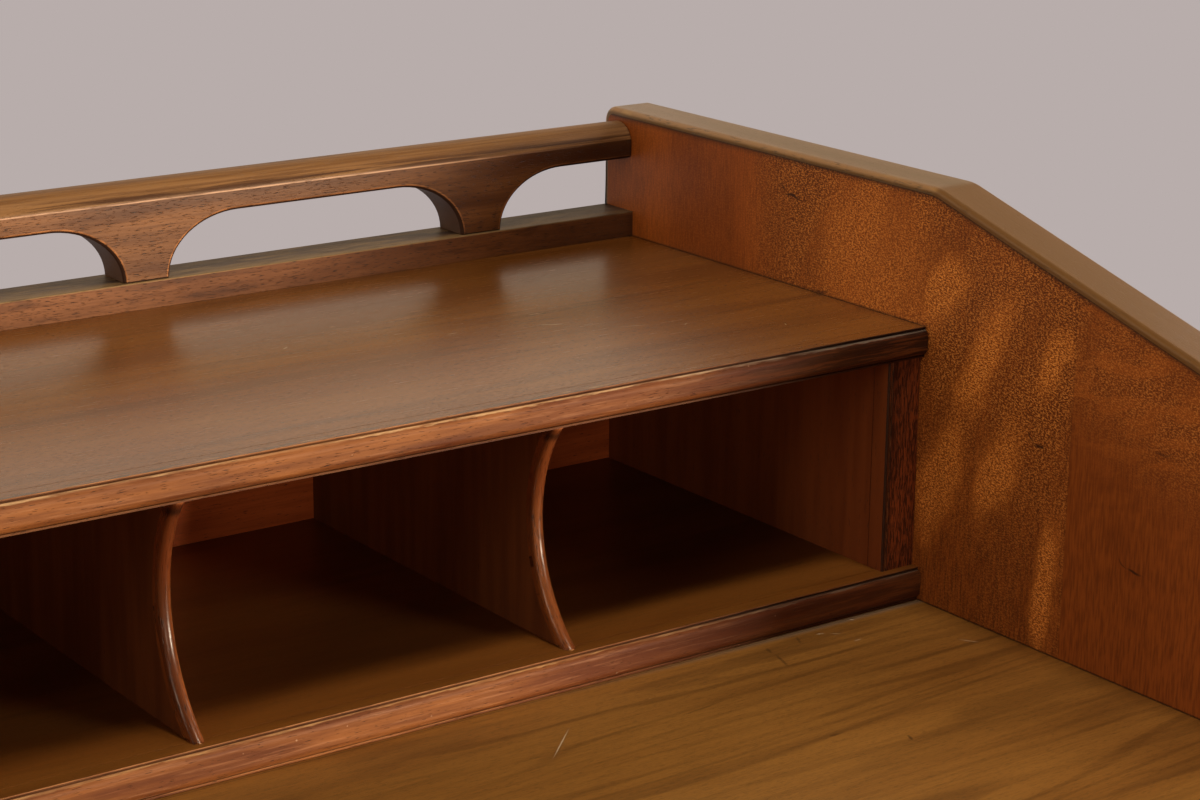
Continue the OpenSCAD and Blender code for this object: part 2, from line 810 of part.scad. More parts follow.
// Dovetails of a drawer side, seen along X, that reach into the drawer front
module tails(grow = 0) {
    tip_y = front_y + dovetail_lap - grow;
    for (i = [0 : dovetails - 1]) {
        middle = side_z[0] + tail_pitch * (i + 0.5);
        root = tail_pitch * tail_root / 2 + grow;
        end = tail_pitch * tail_end / 2 + grow;
        polygon([[box_y + grow, middle - root], [box_y + grow, middle + root],
                 [tip_y, middle + end], [tip_y, middle - end]]);
    }
}

function drawer_bottom_box(bay) = [
    [bay[0] + side_gap + side_t - groove_d, box_y - groove_d, drawer_bottom_z],
    [bay[1] - side_gap - side_t + groove_d, drawer_end_y - back_inset, drawer_bottom_z + drawer_bottom_t]
];

function drawer_back_box(bay) = [
    [bay[0] + side_gap + side_t - groove_d, drawer_back_y, drawer_bottom_z + drawer_bottom_t],
    [bay[1] - side_gap - side_t + groove_d, drawer_back_y + drawer_back_t, side_z[1] - joint_gap]
];

module pull_spigots(bay, grow = 0) {
    middle = (bay[0] + bay[1]) / 2;
    spread = (pull_w - pull_foot_w) / 2;
    for (way = [-1, 1])
        translate([middle + way * spread, front_y + spigot_depth, (bay_z[0] + bay_z[1]) / 2])
            rotate([90, 0, 0]) round_bar(spigot_dia + 2 * grow, spigot_depth + pull_grip_t / 2);
}

module drawer_front(bay) {
    color(walnut) difference() {
        board([[bay[0] + front_gap, front_y, bay_z[0] + front_gap],
               [bay[1] - front_gap, box_y, bay_z[1] - front_gap]]);
        for (x = [bay[0] + side_gap, bay[1] - side_gap - side_t])
            along_x(x - joint_gap, x + side_t + joint_gap) tails(joint_gap);
        board(drawer_bottom_box(bay), joint_gap);
        pull_spigots(bay, joint_gap);
    }
}

module drawer_side(bay, x) {
    color(drawer_wood) difference() {
        along_x(x, x + side_t) union() {
            translate([box_y, side_z[0]]) square([drawer_end_y - box_y, side_z[1] - side_z[0]]);
            tails();
        }
        board(drawer_bottom_box(bay), joint_gap);
        board(drawer_back_box(bay), joint_gap);
    }
}

module drawer_left_side(bay) {
    drawer_side(bay, bay[0] + side_gap);
}

module drawer_right_side(bay) {
    drawer_side(bay, bay[1] - side_gap - side_t);
}

module drawer_back(bay) {
    color(drawer_wood) board(drawer_back_box(bay));
}

module drawer_bottom(bay) {
    color(drawer_wood) board(drawer_bottom_box(bay));
}

// A bridge-shaped pull: a straight grip on two feet that flare like the gallery posts
module drawer_pull(bay) {
    middle = (bay[0] + bay[1]) / 2;
    half = pull_w / 2;
    gap_half = half - pull_foot_w;
    gap_d = pull_reach - pull_grip_t;
    color(walnut_dark) union() {
        translate([middle, front_y, (bay_z[0] + bay_z[1] - pull_h) / 2]) linear_extrude(pull_h) difference() {
            polygon(rounded([[-half, 0], [-half, -pull_reach], [half, -pull_reach], [half, 0]],
                            [0, pull_grip_t, pull_grip_t, 0]));
            polygon(concat(
                [[-gap_half, over], [-gap_half, 0]],
                [for (i = [0 : arc_steps]) let (turn = 90 * i / arc_steps)
                    [-gap_half + gap_d * (1 - cos(turn)), -gap_d * sin(turn)]],
                [for (i = [arc_steps : -1 : 0]) let (turn = 90 * i / arc_steps)
                    [gap_half - gap_d * (1 - cos(turn)), -gap_d * sin(turn)]],
                [[gap_half, 0], [gap_half, over]]));
        }
        pull_spigots(bay);
    }
}

side_panel(-1);  // left_side_panel
side_panel(1);  // right_side_panel
side_lipping(-1);  // left_side_lipping
side_lipping(1);  // right_side_lipping
writing_top();
writing_nosing();
case_bottom();
case_back();
partition(-1);  // left_partition
partition(1);  // right_partition
drawer_runners();
drawer_stops();
hutch_base();
base_nosing();
hutch_shelf();
shelf_nosing();
hutch_back();
hutch_end(-1);  // left_hutch_end
hutch_end(1);  // right_hutch_end
end_edging(-1);  // left_end_edging
end_edging(1);  // right_end_edging
divider(divider_x[0]);  // divider_1
divider(divider_x[1]);  // divider_2
divider(divider_x[2]);  // divider_3
divider(divider_x[3]);  // divider_4
divider_strip(divider_x[0]);  // divider_strip_1
divider_strip(divider_x[1]);  // divider_strip_2
divider_strip(divider_x[2]);  // divider_strip_3
divider_strip(divider_x[3]);  // divider_strip_4
gallery_sill();
gallery_rail();
gallery_dowels();
foot(-1);  // left_foot
foot(1);  // right_foot
post(-1);  // left_post
post(1);  // right_post
bearer(-1);  // left_bearer
bearer(1);  // right_bearer
stretcher();
stretcher_wedges();
floor_glides();
bearer_screws();
drawer_front(bays[0]);  // left_drawer_front
drawer_left_side(bays[0]);  // left_drawer_left_side
drawer_right_side(bays[0]);  // left_drawer_right_side
drawer_back(bays[0]);  // left_drawer_back
drawer_bottom(bays[0]);  // left_drawer_bottom
drawer_pull(bays[0]);  // left_drawer_pull
drawer_front(bays[1]);  // centre_drawer_front
drawer_left_side(bays[1]);  // centre_drawer_left_side
drawer_right_side(bays[1]);  // centre_drawer_right_side
drawer_back(bays[1]);  // centre_drawer_back
drawer_bottom(bays[1]);  // centre_drawer_bottom
drawer_pull(bays[1]);  // centre_drawer_pull
drawer_front(bays[2]);  // right_drawer_front
drawer_left_side(bays[2]);  // right_drawer_left_side
drawer_right_side(bays[2]);  // right_drawer_right_side
drawer_back(bays[2]);  // right_drawer_back
drawer_bottom(bays[2]);  // right_drawer_bottom
drawer_pull(bays[2]);  // right_drawer_pull
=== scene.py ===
# %% [markdown]
# # A walnut trestle desk
# The desk has a hutch of pigeonholes with a fretted gallery rail between two thick side panels, three
# shallow drawers under its writing surface and a trestle below. The packed model brings every board at its
# true place and size. This lesson gives the boards their eased edges, their walnut and their lacquer, and
# then a quiet room.

# %% Load the packed desk
import json
from math import atan2, cos, hypot, pi, radians, sin, tan

import bmesh
import bpy
from mathutils import Matrix, Vector

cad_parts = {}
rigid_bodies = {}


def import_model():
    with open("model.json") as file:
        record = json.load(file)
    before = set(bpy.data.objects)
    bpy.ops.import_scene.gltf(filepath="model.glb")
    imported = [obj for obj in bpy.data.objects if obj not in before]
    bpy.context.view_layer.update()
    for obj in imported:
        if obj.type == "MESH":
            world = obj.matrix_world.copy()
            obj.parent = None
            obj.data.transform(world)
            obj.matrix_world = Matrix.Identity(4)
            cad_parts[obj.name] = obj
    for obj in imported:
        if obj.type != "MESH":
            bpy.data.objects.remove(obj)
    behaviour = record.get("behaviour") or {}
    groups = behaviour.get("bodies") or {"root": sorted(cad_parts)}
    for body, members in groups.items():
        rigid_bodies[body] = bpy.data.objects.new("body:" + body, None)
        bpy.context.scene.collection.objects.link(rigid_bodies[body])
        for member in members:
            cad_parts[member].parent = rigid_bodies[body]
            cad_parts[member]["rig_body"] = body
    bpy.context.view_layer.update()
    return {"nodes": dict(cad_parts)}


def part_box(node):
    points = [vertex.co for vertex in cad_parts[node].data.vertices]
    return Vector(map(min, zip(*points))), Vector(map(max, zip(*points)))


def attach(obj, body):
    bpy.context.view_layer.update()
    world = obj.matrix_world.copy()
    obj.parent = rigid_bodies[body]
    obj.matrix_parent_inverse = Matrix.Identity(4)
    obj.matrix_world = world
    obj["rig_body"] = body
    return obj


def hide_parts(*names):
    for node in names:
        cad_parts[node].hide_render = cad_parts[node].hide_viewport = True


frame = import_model()
nodes = frame["nodes"]

# %% [markdown]
# ## Sizes that the finishes need
# A finish often follows a place on the desk, such as the glue line behind a nosing. The boxes of the boards
# give most of these places, so that the finish moves with the board when the desk is made in another size.
# They could be typed in as numbers instead, but then each new size would leave the marks behind. Blender
# works in metres, and one name for a millimetre keeps the small sizes readable.

# %% Places on the desk
MM = 0.001
# Half size of a mark along an axis in which it has no end
FAR = 10.0
panel_low, panel_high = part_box("right_side_panel")
lipping_low, lipping_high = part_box("right_side_lipping")
shelf_low, shelf_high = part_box("hutch_shelf")
shelf_nosing_low, shelf_nosing_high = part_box("shelf_nosing")
base_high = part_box("hutch_base")[1]
base_nosing_low, base_nosing_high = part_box("base_nosing")
sill_low, sill_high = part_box("gallery_sill")
rail_low, rail_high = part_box("gallery_rail")
hutch_back_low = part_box("hutch_back")[0]
writing_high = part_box("writing_top")[1]
writing_nosing_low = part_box("writing_nosing")[0]
edging_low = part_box("right_end_edging")[0]
inner_x = panel_low.x
# Front edge of the shelf; the bead of its nosing stands a little before it
shelf_edge_y = shelf_nosing_low.y + 3.2 * MM
# Upright joint of the two leaves of the side veneer
leaf_joint = shelf_edge_y - 129 * MM
# Thickness of the lipping, and the slope of the side panels in front of the shelf
LIPPING = 5 * MM
SLOPE = radians(15.8)
slope_start = shelf_edge_y - 4 * MM
# Way along the lipping from its lower rear end to the start of the slope
bend_run = lipping_high.z - lipping_low.z + lipping_high.y - slope_start
# Height of the rail's rounded crown above the arris of its face
CROWN = 11.5 * MM
print("writing height:", round(writing_high.z, 3), "clear width:", round(2 * inner_x, 3))

# %% [markdown]
# ## The camera
# A long lens stands left of the middle, above the hutch, and looks down into the rear right corner of the
# desk. Its direction is given by a turn to the right, a tilt down and a slight roll, which is easier to
# read than nine numbers of a matrix. The columns of the matrix are the camera's right, its up and its back.

# %% The camera
EYE = Vector((-0.5011, -1.1783, 1.3443))
TURN, TILT, ROLL = radians(35.8), radians(-16.1), radians(0.5)
LENS = 82.37

ahead = Vector((sin(TURN) * cos(TILT), cos(TURN) * cos(TILT), sin(TILT)))
level_right = Vector((cos(TURN), -sin(TURN), 0))
level_up = level_right.cross(ahead)
right = cos(ROLL) * level_right + sin(ROLL) * level_up
up = cos(ROLL) * level_up - sin(ROLL) * level_right

lens = bpy.data.cameras.new("long_lens")
lens.lens = LENS
camera = bpy.data.objects.new("camera", lens)
camera.matrix_world = Matrix.Translation(EYE) @ Matrix((right, up, -ahead)).transposed().to_4x4()
bpy.context.scene.collection.objects.link(camera)
bpy.context.scene.camera = camera
bpy.context.scene.view_settings.view_transform = "Standard"
print("camera looks along", [round(v, 3) for v in ahead])

# %% [markdown]
# ## Eased edges
# No board leaves the workshop with a knife edge: each arris is broken with a plane or with sandpaper, and
# the small round then catches the light. The packed mesh is made of loose triangles, so a copy of it is
# merged and its flat faces are made whole first. Then the bevel operator rounds the outward edges. A Bevel
# modifier could do this too, but the operator hands back the faces that it made. Their corners get the
# value 1 in a layer called arris, so that a finish can show the wear of the edges there.

# %% A copy of a board with eased edges
SAME_POINT = 0.002 * MM
SAME_PLANE = radians(0.4)
SHARP = radians(40)


def merged_copy(node):
    """The mesh of a packed board, merged, with its flat faces made whole."""
    work = bmesh.new()
    work.from_mesh(nodes[node].data)
    bmesh.ops.remove_doubles(work, verts=work.verts, dist=SAME_POINT)
    bmesh.ops.dissolve_limit(work, angle_limit=SAME_PLANE, verts=work.verts, edges=work.edges)
    return work


def is_outward(edge, least=25):
    """True where two faces meet in an outward edge that is sharper than `least` degrees."""
    return len(edge.link_faces) == 2 and edge.is_convex and edge.calc_face_angle(0) > radians(least)


def ease(work, radius, steps, chosen=is_outward):
    """Rounds the chosen edges and marks the rounds in the arris layer."""
    worn = work.loops.layers.float.get("arris") or work.loops.layers.float.new("arris")
    edges = [edge for edge in work.edges if chosen(edge)]
    made = bmesh.ops.bevel(work, geom=edges, offset=radius, offset_type="OFFSET", segments=steps,
                           profile=0.5, affect="EDGES", material=-1, clamp_overlap=False)
    for face in made["faces"]:
        for corner in face.loops:
            corner[worn] = 1.0
    return len(edges)


def finished_piece(work, name, node, finish):
    """Makes the worked mesh a piece that stands for its packed board and rides where that rides."""
    mesh = bpy.data.meshes.new(name)
    work.normal_update()
    work.to_mesh(mesh)
    work.free()
    mesh.set_sharp_from_angle(angle=SHARP)
    for face in mesh.polygons:
        face.use_smooth = True
    piece = bpy.data.objects.new(name, mesh)
    bpy.context.scene.collection.objects.link(piece)
    mesh.materials.append(finish)
    shading = piece.modifiers.new("flats_stay_flat", "WEIGHTED_NORMAL")
    shading.keep_sharp = True
    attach(piece, nodes[node]["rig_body"])
    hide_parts(node)
    return piece


trial = merged_copy("stretcher")
print("stretcher:", len(nodes["stretcher"].data.polygons), "triangles, or", len(trial.faces), "whole faces")
trial.free()

# %% [markdown]
# ## Writing a finish as sums
# A finish in Blender is a net of nodes. It could be drawn in the editor or written out node by node, but
# either way hides the idea. So a small class wraps one socket, and sums of such values add their Math nodes
# by themselves. One method adds any other node from its type, its settings and the values or links of its
# sockets.

# %% A value in a finish
class Value:
    """A socket in the nodes of a finish."""

    def __init__(self, tree, socket=None):
        self.tree = tree
        self.socket = socket

    def add(self, kind, settings=None, sockets=None, out=None):
        """Adds a node of that kind and returns one of its outputs as a Value."""
        node = self.tree.nodes.new(kind)
        for name, setting in (settings or {}).items():
            setattr(node, name, setting)
        named = {socket.identifier: socket for socket in node.inputs}
        for name, value in (sockets or {}).items():
            if isinstance(value, Value):
                self.tree.links.new(value.socket, named[name])
            else:
                named[name].default_value = value
        outputs = {socket.identifier: socket for socket in node.outputs}
        if not outputs:
            return None
        return Value(self.tree, outputs[out] if out else node.outputs[0])

    def maths(self, operation, first, second=0.0):
        """Adds a Math node for one or two numbers."""
        return self.add("ShaderNodeMath", {"operation": operation}, {"Value": first, "Value_001": second})

    def __add__(self, other):
        return self.maths("ADD", self, other)

    def __sub__(self, other):
        return self.maths("SUBTRACT", self, other)

    def __mul__(self, other):
        return self.maths("MULTIPLY", self, other)

    def __rsub__(self, other):
        return self.maths("SUBTRACT", other, self)

    __radd__ = __add__
    __rmul__ = __mul__

    def size(self):
        """The value without its sign."""
        return self.maths("ABSOLUTE", self)

    def wave(self):
        """The sine of the value."""
        return self.maths("SINE", self)

    def least(self, other):
        """The smaller of the two values."""
        return self.maths("MINIMUM", self, other)

    def most(self, other):
        """The larger of the two values."""
        return self.maths("MAXIMUM", self, other)

    def rise(self, start, end):
        """A smooth step from 0 at `start` to 1 at `end`; the end may be the smaller."""
        return self.add("ShaderNodeMapRange", {"interpolation_type": "SMOOTHSTEP"},
                        {"Value": self, "From Min": start, "From Max": end})

    def near(self, place, reach):
        """1 where the value is at `place`, and 0 from `reach` away."""
        return (self - place).size().rise(reach, 0.0)

    def colours(self, first, second):
        """Blends two colours, with the value as the share of the second."""
        return self.add("ShaderNodeMix", {"data_type": "RGBA"},
                        {"Factor_Float": self, "A_Color": first, "B_Color": second}, "Result_Color")


print("a value knows:", ", ".join(word for word in vars(Value) if not word.startswith("_")))

# %% [markdown]
# ## Words for wood
# Wood is drawn in the space of its fibres. Lengths along the grain are divided by a long length and those
# across it by a short one, so that a plain cloud of noise becomes a streak. The same cloud gives end grain
# where a board is cut across, because it fills the whole board. Strong streaks come from the lines of equal
# height in a slow cloud, as the rings of a tree do where a saw cuts them at a flat angle. Single marks,
# such as a knot or a scratch, are soft ovals with a place, a size and a turn.

# %% Grain, pores and rings
def colour(red, green, blue):
    """A colour as seen on a screen, from 0 to 255, as the linear colour that a shader takes."""
    shares = (red / 255, green / 255, blue / 255)
    linear = [((share + 0.055) / 1.055) ** 2.4 if share > 0.04 else share / 12.92 for share in shares]
    return (*linear, 1)


# Tint of what old lacquer mirrors
AMBER = colour(255, 236, 205)


class Wood(Value):
    """The nodes of a wood finish, with the words that a wood needs."""

    def __init__(self, name, grain, seed, source=None):
        self.finish = bpy.data.materials.new(name)
        self.finish.use_nodes = True
        super().__init__(self.finish.node_tree)
        self.tree.nodes.clear()
        self.grain = grain
        self.seed = seed
        if source:
            self.place = self.layer(source, "Vector")
        else:
            self.place = self.add("ShaderNodeTexCoord", out="Object")

    def layer(self, name, out="Fac"):
        """What a layer of the mesh says at each point."""
        return self.add("ShaderNodeAttribute", {"attribute_name": name}, out=out)

    def axis(self, letter):
        """The place along one axis, in metres."""
        return self.add("ShaderNodeSeparateXYZ", sockets={"Vector": self.place}, out=letter)

    def fibres(self, along, across, turn=(0, 0, 0), shift=0.0):
        """Space in which 1 is `along` the grain and `across` it, moved on by the seed."""
        lengths = [across, across, across]
        lengths["XYZ".index(self.grain)] = along
        start = [(self.seed * step + shift) * length for step, length in zip((1.7, 2.3, 3.1), lengths)]
        sockets = {"Vector": self.place, "Location": start, "Rotation": turn, "Scale": lengths}
        return self.add("ShaderNodeMapping", {"vector_type": "TEXTURE"}, sockets, "Vector")

    def cloud(self, space, detail=2.0, roughness=0.5, bend=0.0):
        """Noise from 0 to 1 in that space."""
        return self.add("ShaderNodeTexNoise", None, {"Vector": space, "Scale": 1.0, "Detail": detail,
                                                      "Roughness": roughness, "Distortion": bend})

    def pores(self, along, across, share, shift=5.0):
        """Open pores: 1 in short dark dashes along the grain, which cover about that share of the wood."""
        dashes = self.cloud(self.fibres(along, across, shift=shift), 1.0)
        return dashes.rise(0.72 - share, 0.79 - share)

    def rings(self, along, across, count, turn=(0, 0, 0), shift=9.0, waver=0.0):
        """Late wood: 1 along the lines of equal height in a slow cloud, which a fine cloud makes waver."""
        hill = self.cloud(self.fibres(along, across, turn, shift), 2.0, 0.45)
        if waver:
            fine = self.fibres(along * 0.12, across * 0.15, turn, shift + 1.0)
            hill = hill + self.cloud(fine, 2.0) * waver
        return (hill * (count * 2 * pi)).wave() * 0.5 + 0.5

    def specks(self, size, spread, share, shift=13.0):
        """Dust: 1 in round specks of about `size`, in a share of the cells that are `spread` wide."""
        space = self.add("ShaderNodeMapping", {"vector_type": "TEXTURE"},
                         {"Vector": self.place, "Location": (self.seed * spread + shift * spread,) * 3,
                          "Scale": (spread,) * 3}, "Vector")
        sockets = {"Vector": space, "Scale": 1.0}
        far = self.add("ShaderNodeTexVoronoi", {"feature": "F1"}, sockets, "Distance")
        pick = self.add("ShaderNodeTexVoronoi", {"feature": "F1"}, sockets, "Color")
        chosen = self.add("ShaderNodeSeparateColor", sockets={"Color": pick}, out="Red")
        return far.rise(size / spread, size / spread * 0.4) * chosen.rise(1 - share, 1 - share * 0.7)

    def wandering(self, reach, size):
        """The place, moved by up to `reach` in waves of about `size`, so that a mark gets a natural rim."""
        space = self.fibres(size, size, shift=41.0)
        waves = self.add("ShaderNodeTexNoise", None,
                         {"Vector": space, "Scale": 1.0, "Detail": 2.0}, "Color")
        way = self.add("ShaderNodeVectorMath", {"operation": "SUBTRACT"},
                       {"Vector": waves, "Vector_001": (0.5, 0.5, 0.5)}, "Vector")
        step = self.add("ShaderNodeVectorMath", {"operation": "SCALE"},
                        {"Vector": way, "Scale": 2 * reach}, "Vector")
        return self.add("ShaderNodeVectorMath", {"operation": "ADD"},
                        {"Vector": self.place, "Vector_001": step}, "Vector")

    def oval(self, space, centre, size, turn=(0, 0, 0)):
        """A soft mark: 1 in its middle and 0 at its rim; `size` is its half size along each axis."""
        within = self.add("ShaderNodeMapping", {"vector_type": "TEXTURE"},
                          {"Vector": space, "Location": centre, "Rotation": turn, "Scale": size}, "Vector")
        away = self.add("ShaderNodeVectorMath", {"operation": "LENGTH"}, {"Vector": within}, "Value")
        return away.rise(1.0, 0.35)

    def mark_on_top(self, space, start, end, width):
        """A straight mark on a level surface, between two places given as x and y."""
        way, middle = Vector(end) - Vector(start), (Vector(end) + Vector(start)) / 2
        return self.oval(space, (*middle, 0), (way.length * 0.55, width, FAR), (0, 0, atan2(way.y, way.x)))

    def mark_on_side(self, space, start, end, width):
        """A straight mark on the inner face of a side panel, between two places given as y and z."""
        way, middle = Vector(end) - Vector(start), (Vector(end) + Vector(start)) / 2
        return self.oval(space, (0, *middle), (FAR, width, way.length * 0.55), (atan2(-way.x, way.y), 0, 0))

    def done(self, colours, roughness, height, depth=0.1 * MM, gloss=0.5, shine=AMBER, metal=0.0):
        """Puts the lacquer on and returns the finish; old lacquer shines a little yellow."""
        bump = self.add("ShaderNodeBump", None,
                        {"Height": height, "Distance": depth, "Strength": 1.0}, "Normal")
        lacquer = self.add("ShaderNodeBsdfPrincipled", None,
                           {"Base Color": colours, "Roughness": roughness, "Normal": bump,
                            "Specular IOR Level": gloss, "Specular Tint": shine, "Metallic": metal},
                           "BSDF")
        self.add("ShaderNodeOutputMaterial", None, {"Surface": lacquer})
        return self.finish


finishes = {}


def keep(word, finish):
    """Keeps a finish under a short word."""
    finishes[word] = finish
    print(f"{finish.name}: {len(finish.node_tree.nodes)} nodes")


print("wood knows also:", ", ".join(word for word in vars(Wood) if not word.startswith("_")))

# %% [markdown]
# ## The side panels' veneer
# The inner faces wear a reddish figured veneer with upright grain. Where the fibres wave in and out of the
# surface the cut pores become short squiggles, and these places lean across the sheet as pale speckled
# bands. Two leaves of the veneer meet in an upright joint, and past it the figure is calmer. A picture of
# such a veneer could be laid on the panel, but it would be one more file, and it would stretch with the
# desk. So a small cloud with a threshold makes the squiggles. The bands are long ovals with wandering rims,
# since they are what the eye knows this sheet by. Each mark is given from the corner where hutch, panel and
# writing surface meet.

# %% Side veneer
def on_side(y, z):
    """A place on a side panel, from millimetres behind the shelf's edge and above the writing surface."""
    return shelf_edge_y + y * MM, writing_high.z + z * MM


# Leaning bands of bright figure: start, end and half width
SIDE_BANDS = (((-22, 120), (-82, 222), 21), ((0, 30), (-36, 140), 24), ((-50, 52), (-86, 150), 20),
              ((-110, -15), (-122, 95), 14), ((-98, 150), (-128, 208), 17))
# Knots and short cracks: start, end, half width and strength
SIDE_KNOTS = (((-105, 125), (-96, 127), 1.5, 0.9), ((-97, 127), (-90, 135), 0.7, 0.7),
              ((-192, 73), (-181, 75), 1.6, 0.9), ((-182, 74), (-172, 79), 0.8, 0.6),
              ((-207, 150), (-198, 146), 1.5, 0.5), ((125, 242), (141, 242), 1.4, 0.9),
              ((139, 242), (145, 250), 0.8, 0.6), ((88, 183), (112, 183), 1.8, 0.6))


def grime(wood, body, lines, tint):
    """Old wax and dirt in the corners: lines as an axis value, its place, its reach and its strength."""
    worn = wood.cloud(wood.fibres(0.02, 0.004, shift=31.0), 2.0).rise(0.15, 0.5)
    for value, place, reach, strength in lines:
        body = (value.near(place, reach) * (worn * 0.6 + 0.4) * strength).colours(body, tint)
    return body


def side_veneer(seed):
    """Reddish upright veneer with leaning bands of figure on its inner face."""
    wood = Wood("side_veneer", "Z", seed)
    y, z = wood.axis("Y"), wood.axis("Z")
    leaf = y.rise(leaf_joint - 0.5 * MM, leaf_joint + 0.5 * MM)
    below = panel_high.z + LIPPING - z
    below = below.least(below * cos(SLOPE) - (slope_start - y) * sin(SLOPE))
    space = wood.wandering(14 * MM, 34 * MM)
    bands = wood.mark_on_side(space, on_side(8, 178), on_side(-38, 236), 27 * MM)
    for low, high, width in SIDE_BANDS:
        bands = bands.most(wood.mark_on_side(space, on_side(*low), on_side(*high), width * MM))
    inside = wood.axis("X").size().rise(inner_x + 20 * MM, inner_x + 10 * MM)
    bands = bands * inside
    rear = wood.oval(space, (0, *on_side(48, 212)), (FAR, 92 * MM, 75 * MM), (radians(-14), 0, 0))
    slow = wood.cloud(wood.fibres(0.10, 0.03, (radians(22), 0, 0), 7.0), 2.0)
    calm = y.rise(shelf_edge_y + 190 * MM, shelf_edge_y + 130 * MM)
    curl = (below.rise(110 * MM, 30 * MM) * 0.8).most(leaf)
    maze = wood.cloud(wood.fibres(0.8 * MM, 1.6 * MM, (radians(8), 0, 0), 11.0), 1.0, 0.5, 0.6)
    glow = (bands * (bands * 0.4 + 0.45)).most(rear * (slow * 0.6 + 0.2)) * (1.5 - maze)
    high = z.rise(writing_high.z + 20 * MM, writing_high.z + 150 * MM)
    figure = glow.most((slow.rise(0.3, 0.6) * 0.35 + 0.24) * calm * (high * 0.7 + 0.3) + 0.1) * curl
    tone = wood.cloud(wood.fibres(0.30, 0.06), 2.0)
    upright = wood.cloud(wood.fibres(14 * MM, 1.3 * MM, shift=3.0), 2.0, 0.6)
    fire = wood.cloud(wood.fibres(11 * MM, 40 * MM, (radians(-12), 0, 0), 23.0), 3.0, 0.6, 0.6)
    body = tone.rise(0.3, 0.7).colours(colour(120, 53, 12), colour(148, 70, 19))
    body = ((1 - leaf) * (1 - high) * 0.5).colours(body, colour(174, 84, 26))
    plain = (calm * 0.5 + 0.5) * (leaf * 0.4 + 0.6)
    body = (calm * (1 - glow) * (1 - rear) * 0.42).colours(body, colour(84, 36, 8))
    pores = upright.rise(0.46, 0.64) * plain * (0.88 - figure * 0.4 - high * 0.23)
    body = pores.colours(body, colour(82, 34, 8))
    body = (upright.rise(0.50, 0.34) * plain * (0.3 - figure * 0.2)).colours(body, colour(172, 88, 26))
    body = (glow * curl * 0.55).colours(body, colour(206, 114, 38))
    body = (maze.rise(0.46, 0.64) * (figure * 0.9)).colours(body, colour(84, 36, 8))
    body = (maze.rise(0.54, 0.36) * (figure * 0.8)).colours(body, colour(234, 142, 60))
    upper = z.rise(writing_high.z + 60 * MM, writing_high.z + 190 * MM)
    body = (fire.rise(0.45, 0.65) * (1 - leaf) * upper * 0.3).colours(body, colour(184, 94, 28))
    # Painted shade: the veneer grows darker towards the writing surface.
    body = (z.rise(writing_high.z + 190 * MM, writing_high.z) * 0.12).colours(body, colour(92, 42, 12))
    for start, end, width, strength in SIDE_KNOTS:
        knot = wood.mark_on_side(space, on_side(*start), on_side(*end), width * MM)
        body = (knot * strength).colours(body, colour(44, 17, 7))
    body = (y.near(leaf_joint, 0.7 * MM) * 0.2).colours(body, colour(64, 26, 9))
    # Painted shade: a soft dark band in the veneer along the lipping, darkest right beside it.
    body = (below.rise(LIPPING + 5 * MM, LIPPING) * 0.55).colours(body, colour(54, 26, 10))
    body = (below.rise(LIPPING + 1.8 * MM, LIPPING) * 0.8).colours(body, colour(44, 28, 16))
    behind = y.rise(shelf_edge_y - 2 * MM, shelf_edge_y)
    body = grime(wood, body, ((z, writing_high.z, 1.4 * MM, 0.85),), colour(36, 18, 9))
    body = (z.near(shelf_high.z, 1.6 * MM) * behind * 0.6).colours(body, colour(40, 22, 11))
    height = upright * 0.4 - maze * figure
    return wood.done(body, tone * 0.06 + 0.4, height, 0.05 * MM, 0.25)


keep("side", side_veneer(4.0))

# %% [markdown]
# ## The lipping
# A solid strip hides the edges of each panel. It is an olive walnut, rubbed golden on its rounded inner
# arris, with dark spots where the wear has opened the pores, and a dark glue line where it meets the
# veneer. The strip bends with the panel's outline, so a pattern along one axis would cross it at a slant on
# the slope. Each point gets its place along the strip, across it and below it instead, in an attribute
# called run. A later step writes that attribute.

# %% Lipping walnut
def lipping_walnut(seed):
    """Olive walnut that runs with the bent strip."""
    wood = Wood("lipping_walnut", "X", seed, "run")
    across, depth = wood.axis("Y").size(), wood.axis("Z")
    tone = wood.cloud(wood.fibres(0.3, 0.03), 3.0)
    streaks = wood.cloud(wood.fibres(0.08, 1.6 * MM, shift=3.0), 3.0, 0.6)
    dashes = wood.pores(8.0 * MM, 0.6 * MM, 0.12)
    inner = across.rise(inner_x + 5 * MM, inner_x + 1 * MM)
    body = tone.rise(0.3, 0.7).colours(colour(120, 88, 62), colour(144, 106, 78))
    body = (streaks.rise(0.4, 0.75) * 0.3).colours(body, colour(98, 66, 32))
    body = (dashes * 0.3).colours(body, colour(70, 44, 20))
    rubbed = wood.cloud(wood.fibres(0.03, 0.008, shift=21.0), 2.0)
    body = (inner * 0.8).colours(body, colour(158, 104, 42))
    body = (inner * rubbed.rise(0.58, 0.74) * 0.5).colours(body, colour(190, 140, 70))
    spots = wood.cloud(wood.fibres(7 * MM, 1.1 * MM, shift=27.0), 2.0, 0.6).rise(0.50, 0.64)
    spots = spots * rubbed.rise(0.56, 0.44)
    body = (inner * spots * 0.6).colours(body, colour(80, 54, 22))
    body = (depth.rise(1.2 * MM, LIPPING) * inner * 0.8).colours(body, colour(66, 46, 22))
    # Painted shade: past the bend, the sloped lipping, which the front lights reach more, is painted darker
    # and redder.
    past_bend = wood.axis("X").rise(bend_run - 3 * MM, bend_run + 3 * MM)
    shown = (past_bend * 0.75).colours(body, colour(102, 62, 23))
    height = streaks * 0.3 - dashes * 0.6 - spots * inner
    return wood.done(shown, tone * 0.08 + 0.3, height, 0.08 * MM, 0.45)


keep("lipping", lipping_walnut(3.0))

